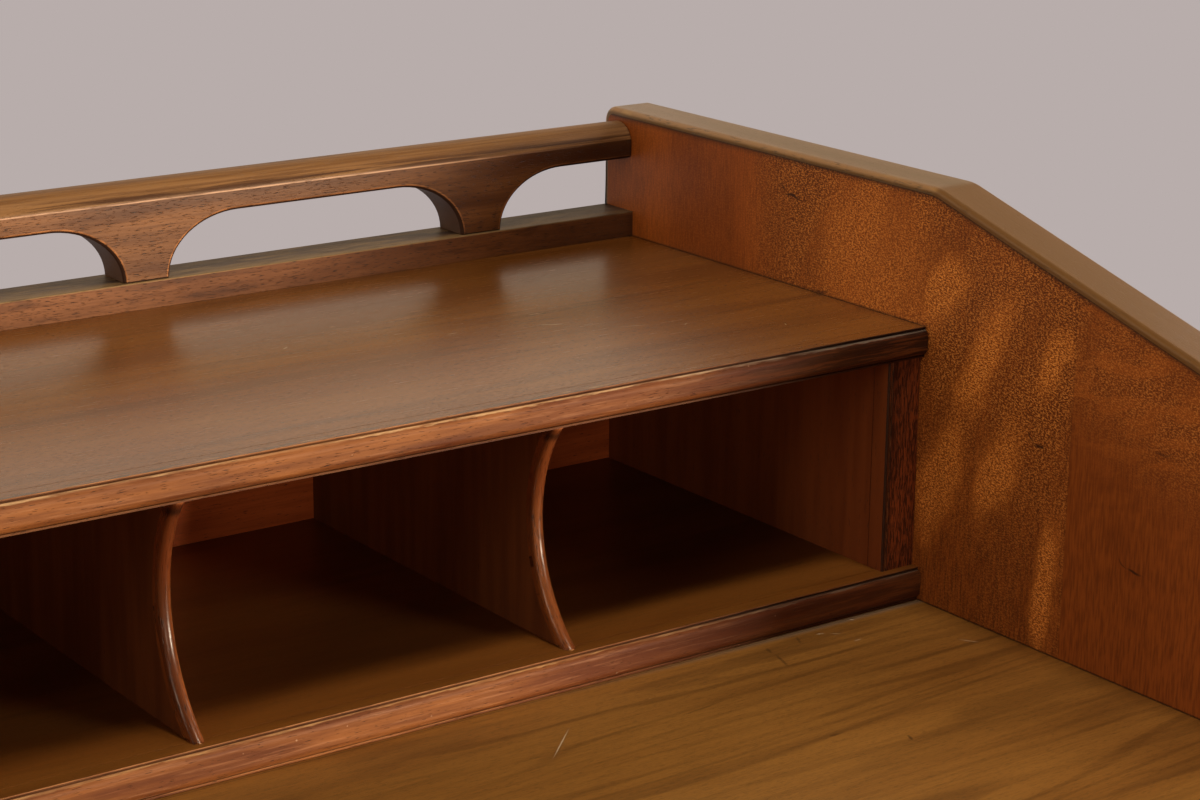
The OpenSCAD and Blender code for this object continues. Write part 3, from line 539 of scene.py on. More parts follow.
# %% [markdown]
# ## The veneer of the shelf and of the writing surface
# The flat surfaces wear a calmer walnut that the lacquer has turned olive. Its grain runs from side to
# side, with soft dark lines where the rings are cut. A Wave texture could draw these lines, but its lines
# never end or meet, so the equal heights of a slow cloud draw them here. A function given as `detail` adds
# what only one board shows.

# %% Flat veneer
def flat_veneer(name, seed, pale, dark, line, lines, roughness, gloss, detail):
    """Calm veneer with the marks that `detail` adds; more `lines` bring its ring lines closer together."""
    wood = Wood(name, "X", seed)
    tone = wood.cloud(wood.fibres(0.5, 0.07), 3.0)
    rings = wood.rings(1.1, 0.10, lines, (0, 0, radians(2)), waver=0.05)
    second = wood.rings(0.8, 0.06, lines * 0.6, (0, 0, radians(-1)), 19.0, 0.06)
    ripple = wood.cloud(wood.fibres(0.09, 6 * MM, shift=27.0), 3.0, 0.6)
    streaks = wood.cloud(wood.fibres(0.03, 1.1 * MM, shift=3.0), 3.0, 0.65)
    dashes = wood.pores(4.0 * MM, 0.5 * MM, 0.16)
    body = tone.rise(0.32, 0.68).colours(dark, pale)
    shade = wood.cloud(wood.fibres(0.25, 0.05, shift=37.0), 2.0).rise(0.35, 0.65) * 0.6 + 0.4
    body = (rings.rise(0.7, 1.0) * shade * 0.4).colours(body, line)
    body = (second.rise(0.8, 1.0) * shade * 0.28).colours(body, line)
    body = (ripple.rise(0.48, 0.7) * 0.24).colours(body, line)
    body = (streaks.rise(0.42, 0.7) * 0.2).colours(body, line)
    body = (dashes * 0.3).colours(body, colour(60, 34, 14))
    shown = detail(wood, body)
    return wood.done(shown, streaks * 0.08 + roughness, streaks * 0.4 - dashes * 0.4, 0.04 * MM, gloss)


def on_top(x, y):
    """A place on a level board, from millimetres right of the panel's face and behind the shelf's edge."""
    return inner_x + x * MM, shelf_edge_y + y * MM


print("the marks on the level boards start from", [round(v, 3) for v in on_top(0, 0)])

# %% [markdown]
# ## Marks of use
# Years of use left fine scratches and specks of dust on the level boards, small knots in the veneer, and
# dark lines of old wax where boards meet. Random marks would be easier, but the longer ones are what makes
# this desk this one, so they are placed one by one. Only the dust is left to chance.

# %% Writing surface, shelf and floor of the pigeonholes
# Knots: start, end, half width and strength
TOP_KNOTS = (((-137, -24), (-133, -14), 1.6, 0.5), ((-142, -48), (-135, -24), 1.6, 0.5),
             ((-112, -22), (-106, -10), 1.4, 0.45), ((-190, -141), (-182, -141), 1.6, 0.5),
             ((-156, -172), (-152, -164), 1.6, 0.6), ((-240, -70), (-205, -66), 1.4, 0.4))
# Scratches: start, end and half width
TOP_SCRATCHES = (((-337, -80), (-303, -48), 0.5), ((-94, -14), (-88, -16), 0.6),
                 ((-86, -18), (-80, -22), 0.5), ((-82, -36), (-75, -36), 0.5),
                 ((-27, -70), (-19, -82), 0.5), ((-60, -6), (-57, -8), 0.7))
SHELF_SCRATCHES = (((-200, 139), (-181, 128), 0.45), ((-258, 149), (-249, 149), 0.5),
                   ((-358, 174), (-352, 178), 0.6), ((-123, 86), (-118, 90), 0.5),
                   ((-160, 106), (-140, 99), 0.35), ((-70, 51), (-68, 55), 0.6))


def scratched(wood, body, scratches, strength, tint):
    """Adds straight fine scratches."""
    for start, end, width in scratches:
        scratch = wood.mark_on_top(wood.place, on_top(*start), on_top(*end), width * MM)
        body = (scratch * strength).colours(body, tint)
    return body


def writing_marks(wood, body):
    """Wax by the base nosing, knots, scratches and dust."""
    x, y = wood.axis("X"), wood.axis("Y")
    space = wood.wandering(1.5 * MM, 12 * MM)
    wax = y.near(base_nosing_low.y, 5.5 * MM) * x.size().rise(inner_x * 0.45, inner_x * 0.9)
    body = (wax * 0.5).colours(body, colour(128, 116, 98))
    body = grime(wood, body, ((y, base_nosing_low.y, 1.0 * MM, 0.5), (x.size(), inner_x, 1.3 * MM, 0.85)),
                 colour(34, 20, 11))
    for start, end, width, strength in TOP_KNOTS:
        knot = wood.mark_on_top(space, on_top(*start), on_top(*end), width * MM)
        body = (knot * strength).colours(body, colour(56, 32, 14))
    body = scratched(wood, body, TOP_SCRATCHES, 0.8, colour(226, 200, 158))
    dust = wood.specks(0.5 * MM, 14 * MM, 0.3) * y.rise(base_nosing_low.y - 110 * MM, base_nosing_low.y)
    return (dust * 0.6).colours(body, colour(210, 180, 136))


def shelf_marks(wood, body):
    """A dark rear, a rubbed and dirty front edge, scratches and dust."""
    x, y = wood.axis("X"), wood.axis("Y")
    rear = y.rise(shelf_edge_y + 120 * MM, shelf_edge_y + 280 * MM)
    body = (rear * 0.25).colours(body, colour(80, 44, 15))
    rim = wood.cloud(wood.fibres(14 * MM, 3 * MM, shift=33.0), 2.0)
    edge = y.rise(shelf_edge_y + 9 * MM, shelf_edge_y + 1 * MM) * x.rise(inner_x, inner_x * 0.5)
    body = (edge * rim.rise(0.46, 0.60) * 0.6).colours(body, colour(64, 42, 22))
    body = (edge * rim.rise(0.42, 0.30) * 0.5).colours(body, colour(176, 136, 82))
    body = grime(wood, body, ((y, sill_low.y, 1.5 * MM, 0.85), (x.size(), inner_x, 1.5 * MM, 0.8)),
                 colour(34, 18, 9))
    body = scratched(wood, body, SHELF_SCRATCHES, 0.7, colour(214, 188, 148))
    dust = wood.specks(0.55 * MM, 15 * MM, 0.35)
    return (dust * 0.6).colours(body, colour(200, 160, 108))


def base_marks(wood, body):
    """Painted shade inside the pigeonholes behind the nosing, and dust."""
    y = wood.axis("Y")
    # Painted shade: the base grows dark behind its nosing, inside the pigeonholes.
    inside = y.rise(base_nosing_high.y + 20 * MM, base_nosing_high.y + 60 * MM)
    body = (inside * 0.4).colours(body, colour(46, 26, 13))
    dust = wood.specks(0.5 * MM, 14 * MM, 0.3)
    body = grime(wood, body, ((y, hutch_back_low.y, 2 * MM, 0.7),), colour(24, 12, 6))
    return (dust * 0.6).colours(body, colour(180, 130, 76))


OLIVE = colour(174, 114, 46), colour(150, 94, 36), colour(96, 57, 21)
SHELF = colour(147, 87, 30), colour(128, 70, 21), colour(96, 50, 14)
keep("writing", flat_veneer("writing_veneer", 5.0, *OLIVE, 13, 0.38, 0.35, writing_marks))
keep("shelf", flat_veneer("shelf_veneer", 8.0, *SHELF, 5, 0.22, 0.5, shelf_marks))
keep("base", flat_veneer("base_veneer", 9.0, *SHELF, 5, 0.34, 0.35, base_marks))

# %% [markdown]
# ## Solid walnut
# Rail, sill, nosings, edgings and the trestle are solid. Solid walnut shows open pores as short dark
# dashes, and its worn arrises are pale where the colour has rubbed away. Each board could have its own
# finish, but the wood is one wood. So one function serves them all, with the grain along the board, colours
# for the sunnier and the darker boards, and a `detail` where a board has more to show. The first boards to
# use it are the plain ones.

# %% Solid walnut
def solid_walnut(name, grain, seed, pale, dark, worn, share=0.12, roughness=0.44, gloss=0.2, source=None,
                 detail=None, streaky=0.5):
    """Solid walnut with open pores over that share of it, and with worn arrises."""
    wood = Wood(name, grain, seed, source)
    tone = wood.cloud(wood.fibres(0.12, 0.012), 3.0)
    streaks = wood.cloud(wood.fibres(0.05, 1.6 * MM, shift=3.0), 3.0, 0.65)
    dashes = wood.pores(6.0 * MM, 0.5 * MM, share)
    rub = wood.cloud(wood.fibres(0.02, 0.006, shift=21.0), 2.0).rise(0.38, 0.6)
    body = tone.rise(0.3, 0.7).colours(dark, pale)
    body = (streaks.rise(0.42, 0.7) * streaky).colours(body, dark)
    body = (wood.layer("arris") * (rub * 0.6 + 0.3)).colours(body, worn)
    body = (dashes * 0.8).colours(body, colour(38, 16, 7))
    shown = detail(wood, body) if detail else body
    dull = streaks * 0.1 + roughness + wood.layer("cut") * 0.3
    return wood.done(shown, dull, streaks * 0.4 - dashes, 0.1 * MM, gloss)


WORN = colour(200, 134, 74)
TRESTLE = colour(134, 78, 40), colour(92, 48, 22), WORN
keep("foot", solid_walnut("foot_walnut", "Y", 18.0, *TRESTLE))
keep("post", solid_walnut("post_walnut", "Z", 19.0, *TRESTLE))
keep("stretcher", solid_walnut("stretcher_walnut", "X", 20.0, *TRESTLE))
keep("front", solid_walnut("front_walnut", "X", 22.0, colour(132, 74, 38), colour(100, 52, 24), WORN, 0.08))
keep("back", solid_walnut("back_veneer", "X", 16.0, colour(204, 92, 38), colour(162, 68, 26), WORN, 0.05))
keep("inside", solid_walnut("inside_veneer", "Z", 15.0, colour(126, 60, 24), colour(110, 50, 19),
                            colour(150, 70, 32), 0.03, streaky=0.1))
keep("divider", solid_walnut("divider_veneer", "Z", 23.0, colour(102, 52, 21), colour(86, 42, 16),
                             colour(120, 58, 24), 0.03, 0.5, 0.1, streaky=0.1))

# %% [markdown]
# ## Wear and painted light of the rail and the sill
# The rail's crown has faded to gold and has dark smudges along its arris, and painted highlights lie along
# the arris and on the crown's ends. The cut faces of its arches, where the grain ends, are nearly black,
# partly from their end grain and partly as painted shade. Both rail and sill are painted darker towards the
# panels as the panels' shadow, and the sill's top is painted pale as its sheen, with painted shadow at its
# back.
# Wear could be painted by hand, but a place along the board says as much: each mark here is a rise or a
# line in one axis, broken up by a cloud.

# %% Rail and sill
def rail_crown(wood, body):
    """A golden crown with painted highlights on its ends and along its arris, a face painted darker towards
    the panels as shade, and cut faces dark from end grain and painted shade.
    """
    x, z = wood.axis("X").size(), wood.axis("Z")
    arris = rail_high.z - CROWN
    smoke = wood.cloud(wood.fibres(0.09, 2.2 * MM, shift=25.0), 3.0, 0.6)
    crown = smoke.rise(0.35, 0.65).colours(colour(114, 72, 34), colour(138, 92, 48))
    above = z.rise(arris + 0.3 * MM, arris + 0.7 * MM)
    # Painted shadow: the face grows darker towards the panels, which shade it.
    body = (x.rise(270 * MM, 340 * MM) * 0.35).colours(body, colour(58, 27, 12))
    body = (x.rise(inner_x - 120 * MM, inner_x) * 0.75).colours(body, colour(46, 22, 10))
    # Painted highlight: the crown is lighter at its ends.
    crown = (x.rise(inner_x - 120 * MM, inner_x) * 0.2).colours(crown, colour(182, 126, 84))
    body = (above * 0.92).colours(body, crown)
    smudge = z.near(arris + 2.8 * MM, 4 * MM) * smoke.rise(0.66, 0.4)
    body = (smudge * above * 0.8).colours(body, colour(58, 28, 12))
    # Painted highlight: a bright line along the arris, fading towards the panels.
    rub = wood.cloud(wood.fibres(0.03, 3 * MM, shift=39.0), 2.0).rise(0.3, 0.6)
    rub = (rub * 0.5 + 0.3) * x.rise(inner_x, inner_x - 200 * MM)
    body = (z.near(arris, 0.8 * MM) * rub).colours(body, colour(226, 166, 118))
    # Cut faces: dark from their end grain and partly painted shade; the rounds that turn away from the
    # front are painted darkest.
    cut = wood.layer("cut")
    body = (cut.rise(0.2, 0.4) * 0.85).colours(body, colour(74, 50, 36))
    return (cut.rise(0.7, 0.9) * 0.9).colours(body, colour(46, 21, 9))


def sill_sheen_and_shade(wood, body):
    """A top painted pale as its sheen with painted shadow in patches at its back, dark patches, and ends
    painted dark as the panels' shadow.
    """
    x, y, z = wood.axis("X").size(), wood.axis("Y"), wood.axis("Z")
    smear = wood.cloud(wood.fibres(0.05, 8 * MM, shift=29.0), 3.0, 0.6)
    # Painted reflection and shadow: the top is pale and greyish at the front and darker in patches at the
    # back.
    back_part = y.rise(sill_low.y + 3 * MM, sill_low.y + 12 * MM) * smear.rise(0.3, 0.6)
    top = back_part.colours(colour(138, 104, 62), colour(84, 62, 46))
    body = (z.rise(sill_high.z - 0.9 * MM, sill_high.z - 0.3 * MM) * 0.9).colours(body, top)
    patch = wood.cloud(wood.fibres(0.03, 7 * MM, shift=47.0), 2.0)
    body = (patch.rise(0.56, 0.7) * 0.5).colours(body, colour(60, 30, 16))
    # Painted shadow: the sill grows darker towards the panels, which shade it.
    return (x.rise(inner_x - 200 * MM, inner_x) * 0.65).colours(body, colour(44, 21, 11))


keep("rail", solid_walnut("rail_walnut", "X", 6.0, colour(134, 80, 38), colour(84, 43, 18),
                          colour(182, 112, 60), 0.11, 0.4, detail=rail_crown))
keep("sill", solid_walnut("sill_walnut", "X", 7.0, colour(140, 82, 42), colour(98, 52, 24),
                          colour(150, 96, 54), 0.12, detail=sill_sheen_and_shade))

# %% [markdown]
# ## The strips of the pigeonholes
# Each divider wears a bent strip on its hollow front, and the end panels wear a straight edging with a fine
# bead. Hands have polished the strips, so they are glossier than the other solid walnut. Their upper part
# and a ring under the shelf are painted dark as shade, and the very top gets a painted highlight. The
# bead's shadow lines and its highlight are finer than a millimetre. They could be cut in the mesh, but as
# lines of colour they stay crisp at any distance.

# %% Strip and edging
def strip_shade_and_highlight(wood, body):
    """Painted shade on a redder upper half and in a dark ring under the shelf, and a painted highlight on
    the top.
    """
    place = wood.add("ShaderNodeTexCoord", out="Object")
    z = wood.add("ShaderNodeSeparateXYZ", sockets={"Vector": place}, out="Z")
    # Painted shade: the upper part, which the shelf shades, is darker and redder.
    body = (z.rise(shelf_low.z - 65 * MM, shelf_low.z - 45 * MM) * 0.4).colours(body, colour(104, 42, 15))
    # Painted shadow of the shelf's nosing in a ring just below it.
    body = (z.near(shelf_low.z - 12 * MM, 5 * MM) * 0.8).colours(body, colour(36, 16, 8))
    # Painted highlight where the top end of the strip comes forward into the light.
    return (z.rise(shelf_low.z - 8 * MM, shelf_low.z - 5 * MM) * 0.8).colours(body, colour(196, 112, 62))


def edging_line(wood, body):
    """A fine double bead beside the pigeonhole, drawn as a painted highlight between painted shadow lines.
    """
    x = wood.axis("X").size()
    # Painted highlight on the bead's crest; the dark lines beside it are its painted shadows.
    body = (x.near(edging_low.x + 2.4 * MM, 0.6 * MM) * 0.5).colours(body, colour(186, 118, 66))
    body = (x.near(edging_low.x + 3.6 * MM, 0.7 * MM) * 0.8).colours(body, colour(36, 16, 8))
    rim = x.rise(edging_low.x + 1.9 * MM, edging_low.x + 1.2 * MM)
    return (rim * 0.85).colours(body, colour(40, 18, 8))


keep("strip", solid_walnut("strip_walnut", "Z", 14.0, colour(146, 76, 32), colour(84, 38, 15), WORN,
                           0.12, 0.22, 0.35, "run", strip_shade_and_highlight))
keep("edging", solid_walnut("edging_walnut", "Z", 12.0, colour(150, 70, 30), colour(92, 38, 15),
                            colour(150, 80, 40), 0.27, detail=edging_line))

# %% [markdown]
# ## The fronts of the nosings: wear, painted highlight and painted shade
# Three boards end in a nosing: a round bead below a small step, the quirk, where wax and dirt collect.
# Sleeves have rubbed the beads pale in the middle of the desk and left them dark near the panels, and a
# painted highlight lies along the beads. The fronts are painted darker towards the panels and under the
# bead as shade. The three differ only in their heights, in how dirty their ends are, in the colours of
# their beads and in how much painted shade lies under them. Three finishes could be written out, but one
# function that makes the `detail` for each keeps them alike.

# %% Nosings
def quirk(edge_y, top_z, low_z, bead_pale, bead_end, dirt, under_shade):
    """Makes the detail of a nosing: a golden rim, a dark quirk, a rubbed bead with a painted highlight,
    painted shade towards the panels and under the bead, and ends dirtier in patches.
    """
    def detail(wood, body):
        x, y, z = wood.axis("X").size(), wood.axis("Y"), wood.axis("Z")
        corner = x.rise(inner_x * 0.55, inner_x * 0.97)
        rub = wood.cloud(wood.fibres(0.02, 3 * MM, shift=35.0), 3.0, 0.6)
        patch = wood.cloud(wood.fibres(0.04, 1.8 * MM, shift=45.0), 3.0, 0.65)
        # Painted shade: the front grows darker towards the panels, which shade it.
        body = (x.rise(290 * MM, 370 * MM) * 0.45).colours(body, colour(92, 38, 14))
        body = (corner * (patch.rise(0.42, 0.54) * 0.6 + 0.35) * dirt).colours(body, colour(36, 16, 8))
        body = ((1 - corner) * patch.rise(0.5, 0.72) * 0.3).colours(body, colour(190, 124, 76))
        dust = wood.specks(0.8 * MM, 8 * MM, 0.3)
        body = (dust * (1 - corner) * 0.35).colours(body, colour(226, 178, 132))
        # Painted shade under the bead, where the nosing turns down.
        under = z.rise(low_z + 3.4 * MM, low_z + 1.6 * MM)
        body = (under * (corner * 0.5 + under_shade)).colours(body, colour(54, 24, 11))
        # The bead is rubbed pale, and a painted highlight lies over it, thin and grey-white near the
        # panels.
        ragged = z + (rub - 0.5) * (3 * MM)
        bead = y.rise(edge_y, edge_y - 0.6 * MM) * ragged.rise(top_z - 2.8 * MM, top_z - 2.1 * MM)
        tint = corner.colours(bead_pale, bead_end)
        body = (bead * (patch.rise(0.6, 0.42) * 0.6 + 0.2) * (1 - corner * 0.5)).colours(body, tint)
        rim = y.near(edge_y + 0.8 * MM, 0.9 * MM) * z.rise(top_z - 0.6 * MM, top_z - 0.2 * MM)
        body = (rim * (rub.rise(0.3, 0.55) * 0.5) * (1 - corner)).colours(body, colour(164, 108, 54))
        slit = y.near(edge_y, 0.8 * MM) * z.rise(top_z - 0.35 * MM, top_z - 0.7 * MM)
        low = z.rise(top_z - 4 * MM, top_z - 2 * MM)
        return (slit * low * (corner * 0.4 + 0.5)).colours(body, colour(26, 18, 13))
    return detail


def nosing_walnut(board, seed, share, low, high, *look):
    """The finish of a nosing between those two corners of its box."""
    front = quirk(low.y + 3 * MM, high.z, low.z, *look)
    return solid_walnut(board + "_walnut", "X", seed, colour(148, 84, 36), colour(92, 42, 16),
                        colour(168, 106, 58), share, 0.52, detail=front)


keep("shelf_nosing", nosing_walnut("shelf_nosing", 11.0, 0.07, shelf_nosing_low, shelf_nosing_high,
                                   colour(204, 154, 100), colour(186, 168, 140), 0.9, 0.45))
keep("base_nosing", nosing_walnut("base_nosing", 13.0, 0.06, base_nosing_low, base_nosing_high,
                                  colour(190, 136, 80), colour(112, 104, 84), 0.6, 0.0))
keep("writing_nosing", nosing_walnut("writing_nosing", 17.0, 0.06, writing_nosing_low, writing_high,
                                     colour(196, 140, 78), colour(150, 120, 84), 0.6, 0.3))

# %% [markdown]
# ## Birch, steel and nylon
# The drawer boxes are pale birch, sanded and waxed. The screws are plated steel, and the floor glides are
# smooth dark nylon. One flat colour each would do from afar, but they show when a drawer is open or the
# desk is turned. So the birch gets a little grain, and the steel and the nylon a faint cloud.

# %% Birch, steel and nylon
def birch(name, grain, seed):
    """Pale birch with soft rings."""
    wood = Wood(name, grain, seed)
    tone = wood.cloud(wood.fibres(0.5, 0.04), 3.0)
    streaks = wood.cloud(wood.fibres(0.1, 1.4 * MM, shift=3.0), 3.0, 0.6)
    rings = wood.rings(0.6, 0.05, 4)
    body = tone.rise(0.3, 0.7).colours(colour(206, 170, 122), colour(222, 190, 144))
    body = (rings.rise(0.6, 1.0) * 0.3).colours(body, colour(186, 144, 96))
    shown = (streaks.rise(0.4, 0.7) * 0.35).colours(body, colour(178, 138, 92))
    return wood.done(shown, tone * 0.1 + 0.5, streaks, 0.05 * MM, 0.35)


def plain_finish(name, pale, dark, roughness, metal):
    """A smooth finish without grain, which mirrors without a tint."""
    stuff = Wood(name, "X", 1.0)
    cloud = stuff.cloud(stuff.fibres(4 * MM, 4 * MM), 3.0)
    fine = stuff.cloud(stuff.fibres(0.5 * MM, 0.5 * MM), 2.0)
    shown = cloud.rise(0.3, 0.7).colours(pale, dark)
    return stuff.done(shown, fine * 0.15 + roughness, fine, 0.02 * MM, shine=colour(255, 255, 255),
                      metal=metal)


keep("birch_side", birch("birch_side", "Y", 2.0))
keep("birch_back", birch("birch_back", "X", 4.0))
keep("steel", plain_finish("plated_steel", colour(170, 170, 168), colour(140, 140, 138), 0.3, 1.0))
keep("nylon", plain_finish("glide_nylon", colour(40, 37, 34), colour(52, 48, 45), 0.45, 0.0))

# %% [markdown]
# ## The run of a bent strip
# The lipping follows the outline of the panel, and the strip on a divider follows its hollow, as a maker
# bends a strip round a form. A UV map could carry a pattern round the bend, but three plain numbers at each
# point are enough here. The first is the place along the bend. On the panel it is the distance along the
# nearest straight part of the outline. On a divider it is an angle about the middle of the hollow, times
# its radius.

# %% Run along the lipping and along a strip
# The raked front of a side panel: how far it leans back, and where it starts above the writing surface
RAKE = 66 * MM
RAKE_FOOT = 14 * MM
slope_fall = (slope_start - lipping_low.y - RAKE) * tan(SLOPE)
outline = [Vector((lipping_high.y, lipping_low.z)), Vector((lipping_high.y, lipping_high.z)),
           Vector((slope_start, lipping_high.z)),
           Vector((lipping_low.y + RAKE, lipping_high.z - slope_fall)),
           Vector((lipping_low.y, writing_high.z + RAKE_FOOT)), Vector((lipping_low.y, lipping_low.z))]

# The front of a divider is an arc between its foot and its head, this deep at its middle
HOLLOW = 31 * MM
divider_foot = Vector((shelf_edge_y + 1.5 * MM, base_high.z))
divider_head = Vector((shelf_edge_y + 10 * MM, shelf_low.z))
chord = divider_head - divider_foot
hollow_radius = (chord.length ** 2 / 4 + HOLLOW ** 2) / (2 * HOLLOW)
towards_front = Vector((chord.y, -chord.x)).normalized()
hollow_middle = (divider_foot + divider_head) / 2 - towards_front * (hollow_radius - HOLLOW)


def run_on_outline(point):
    """Distance along the outline, place across it, and depth below it."""
    here = Vector((point.y, point.z))
    done, best = 0.0, None
    for start, end in zip(outline, outline[1:]):
        way = (end - start).normalized()
        length = (end - start).length
        along = min(max((here - start).dot(way), 0.0), length)
        depth = (here - start - way * along).length
        if best is None or depth < best[2]:
            best = (done + along, point.x, depth)
        done += length
    return best


def run_on_hollow(point):
    """Place across the strip, distance from the hollow's middle, and distance along the bend."""
    y, z = point.y - hollow_middle.x, point.z - hollow_middle.y
    return (point.x, hypot(y, z), atan2(z, y) * hollow_radius)


def note_run(piece, rule):
    """Writes the run of every point of the piece."""
    run = piece.data.attributes.new("run", "FLOAT_VECTOR", "POINT")
    for point, value in zip(piece.data.vertices, run.data):
        value.vector = rule(point.co)


print("way round a side panel:", round(sum((b - a).length for a, b in zip(outline, outline[1:])), 3))
print("hollow radius:", round(hollow_radius, 4), "middle:", [round(v, 4) for v in hollow_middle])

# %% [markdown]
# ## Which edges are worn
# A maker doesn't break every edge. Hands reach the rim of a lipping but not its glue line, and the arches
# of a rail but not its feet. Edges could be picked by hand in the editor, but the pick is lost when the
# desk is made in another size. So each rule below looks at an edge's place, its length and its faces
# instead.

# %% Rules for edges, and an eased board
# How far a point may be from a plane and still count as in it
HAIR = 0.01 * MM


def eased_board(node, finish, radius, steps=2, chosen=is_outward):
    """Makes the eased piece that stands for a packed board, with a radius in millimetres."""
    work = merged_copy(node)
    count = ease(work, radius * MM, steps, chosen)
    piece = finished_piece(work, "eased_" + node, node, finishes[finish])
    print(f"{piece.name}: {count} edges, {len(piece.data.polygons)} faces")
    return piece


def second_finish(piece, finish, chosen):
    """Gives the chosen faces of a piece another finish."""
    piece.data.materials.append(finishes[finish])
    for face in piece.data.polygons:
        if chosen(face):
            face.material_index = 1


def long_edges(least):
    """Picks the outward edges of at least that length."""
    return lambda edge: is_outward(edge) and edge.calc_length() > least


def rim_edges(side_rule):
    """Picks the edges of the lipping's rim, not those at its glue line, on the side that the rule names."""
    middle = Vector((0, (panel_low.y + panel_high.y) / 2, writing_high.z))

    def on_rim(edge):
        outward = [face for face in edge.link_faces if abs(face.normal.x) < 0.5
                   and (face.calc_center_median() - middle).dot(face.normal) > 0]
        on_that_side = all(side_rule(abs(corner.co.x)) for corner in edge.verts)
        return is_outward(edge) and len(outward) == 1 and on_that_side
    return on_rim


def end_edges(low, high):
    """Picks the outward edges of the two level ends of a strip."""
    return lambda edge: is_outward(edge) and (all(corner.co.z < low + HAIR for corner in edge.verts)
                                              or all(corner.co.z > high - HAIR for corner in edge.verts))


def arch_edges(edge):
    """Picks the edges of the rail's arches, not those of its crown or under its feet."""
    top = max(corner.co.z for corner in edge.verts)
    return is_outward(edge, 60) and rail_low.z + HAIR < top < rail_high.z - CROWN - 1.5 * MM


trial = merged_copy("gallery_rail")
print("edges of the rail:", len(trial.edges), "of its arches:", sum(map(arch_edges, trial.edges)))
trial.free()

# %% [markdown]
# ## Side panels
# Each side panel is a thick veneered board with a solid lipping round its edges. The lipping's inner arris
# is the roundest edge of the desk, since arms lie on it, and its outer arris is a little sharper. One bevel
# for both would be simpler but would show the same round twice, so each gets its own radius. The end edging
# is solid on its front and veneered inside the pigeonhole, so its inner face takes a second finish.

# %% Lippings, edgings and partitions
for side in ("left", "right"):
    work = merged_copy(f"{side}_side_lipping")
    ease(work, 3.4 * MM, 4, rim_edges(lambda x: x < inner_x + HAIR))
    ease(work, 2.0 * MM, 3, rim_edges(lambda x: x > panel_high.x - HAIR))
    lipping = finished_piece(work, f"eased_{side}_side_lipping", f"{side}_side_lipping",
                             finishes["lipping"])
    note_run(lipping, run_on_outline)
    print(f"{lipping.name}: {len(lipping.data.polygons)} faces")
    edging = eased_board(f"{side}_end_edging", "edging", 0.6, 2, long_edges(0.05))
    second_finish(edging, "inside",
                  lambda face: abs(face.normal.x) > 0.99 and abs(face.center.x) < edging_low.x + HAIR)
    eased_board(f"{side}_partition", "inside", 0.5)

# %% [markdown]
# ## The trestle
# Two posts stand on long feet and carry the case on bearers, and a stretcher with wedged tenons holds them
# upright. These are the pieces that shoes and knees meet, so their edges are the most worn. A subdivision
# surface would soften them too, but it would also soften the shoulders of the joints, which have to stay
# crisp.

# %% Feet, posts, bearers and stretcher
for side in ("left", "right"):
    eased_board(f"{side}_foot", "foot", 2.5, 3)
    eased_board(f"{side}_post", "post", 2.5, 3)
    eased_board(f"{side}_bearer", "foot", 1.5)
eased_board("stretcher", "stretcher", 2.0)
eased_board("stretcher_wedges", "post", 0.8)
eased_board("floor_glides", "nylon", 0.8)
eased_board("bearer_screws", "steel", 0.4)

# %% [markdown]
# ## The nosings
# A nosing is glued to the front of a board, and the board's veneer runs over it up to the quirk. Its ends
# meet the side panels with a small gap where dirt collects. The veneer could be a thin piece of its own,
# but it would be too thin to show an edge, so the level top of the nosing simply takes the finish of the
# board behind it.

# %% Nosings with worn ends
def nosing(name, top_finish):
    """A nosing with worn ends, a fine rim at its quirk, and the veneer of its board on its level top."""
    work = merged_copy(name)
    front = min(point.co.y for point in work.verts)
    low = min(point.co.z for point in work.verts)
    ease(work, 0.9 * MM, 2, lambda edge: is_outward(edge) and all(
        abs(corner.co.x) > inner_x - HAIR and corner.co.y < front + 2.9 * MM for corner in edge.verts))
    ease(work, 0.4 * MM, 2, lambda edge: is_outward(edge) and edge.calc_length() > 0.5 and all(
        corner.co.z > low + MM for corner in edge.verts))
    piece = finished_piece(work, "eased_" + name, name, finishes[name])
    top = max(point.co.z for point in piece.data.vertices)
    second_finish(piece, top_finish, lambda face: face.normal.z > 0.99 and face.center.z > top - HAIR)
    print(f"{piece.name}: {len(piece.data.polygons)} faces")


nosing("writing_nosing", "writing")
nosing("base_nosing", "base")
nosing("shelf_nosing", "shelf")

# %% [markdown]
# ## The gallery
# The fretted rail is one board, sawn and rasped to its arches, which leaves soft edges round the openings
# and sharper ones elsewhere. Its cut faces show end grain. Which faces these are could be painted by hand,
# but their direction tells: what looks neither forwards nor up, below the crown, has been cut. The layer
# called cut has a half value where the cut runs along the grain.

# %% Sill and rail
eased_board("gallery_sill", "sill", 0.8)
work = merged_copy("gallery_rail")
ease(work, 2.6 * MM, 4, arch_edges)
ease(work, 0.9 * MM, 2, lambda edge: is_outward(edge, 30))
cut = work.loops.layers.float.new("cut")
for face in work.faces:
    below_crown = face.calc_center_median().z < rail_high.z - CROWN - 0.5 * MM
    if abs(face.normal.y) < 0.95 and face.normal.z < 0.4 and below_crown:
        for corner in face.loops:
            corner[cut] = 1.0 if abs(face.normal.y) > 0.12 else 0.5
rail = finished_piece(work, "eased_gallery_rail", "gallery_rail", finishes["rail"])
print(f"{rail.name}: {len(rail.data.polygons)} faces")

# %% [markdown]
# ## Dividers and their strips
# A thin divider stands between each two pigeonholes, and a half-round strip is bent and glued round its
# hollow front. The packed strip is already round, so only its two level ends are eased. Its run attribute
# is written after that, because the bevel makes new points.

# %% Dividers
for number in range(1, 5):
    eased_board(f"divider_{number}", "divider", 0.3, 1)
    strip = eased_board(f"divider_strip_{number}", "strip", 1.4, 3,
                        end_edges(base_high.z, shelf_low.z))
    note_run(strip, run_on_hollow)

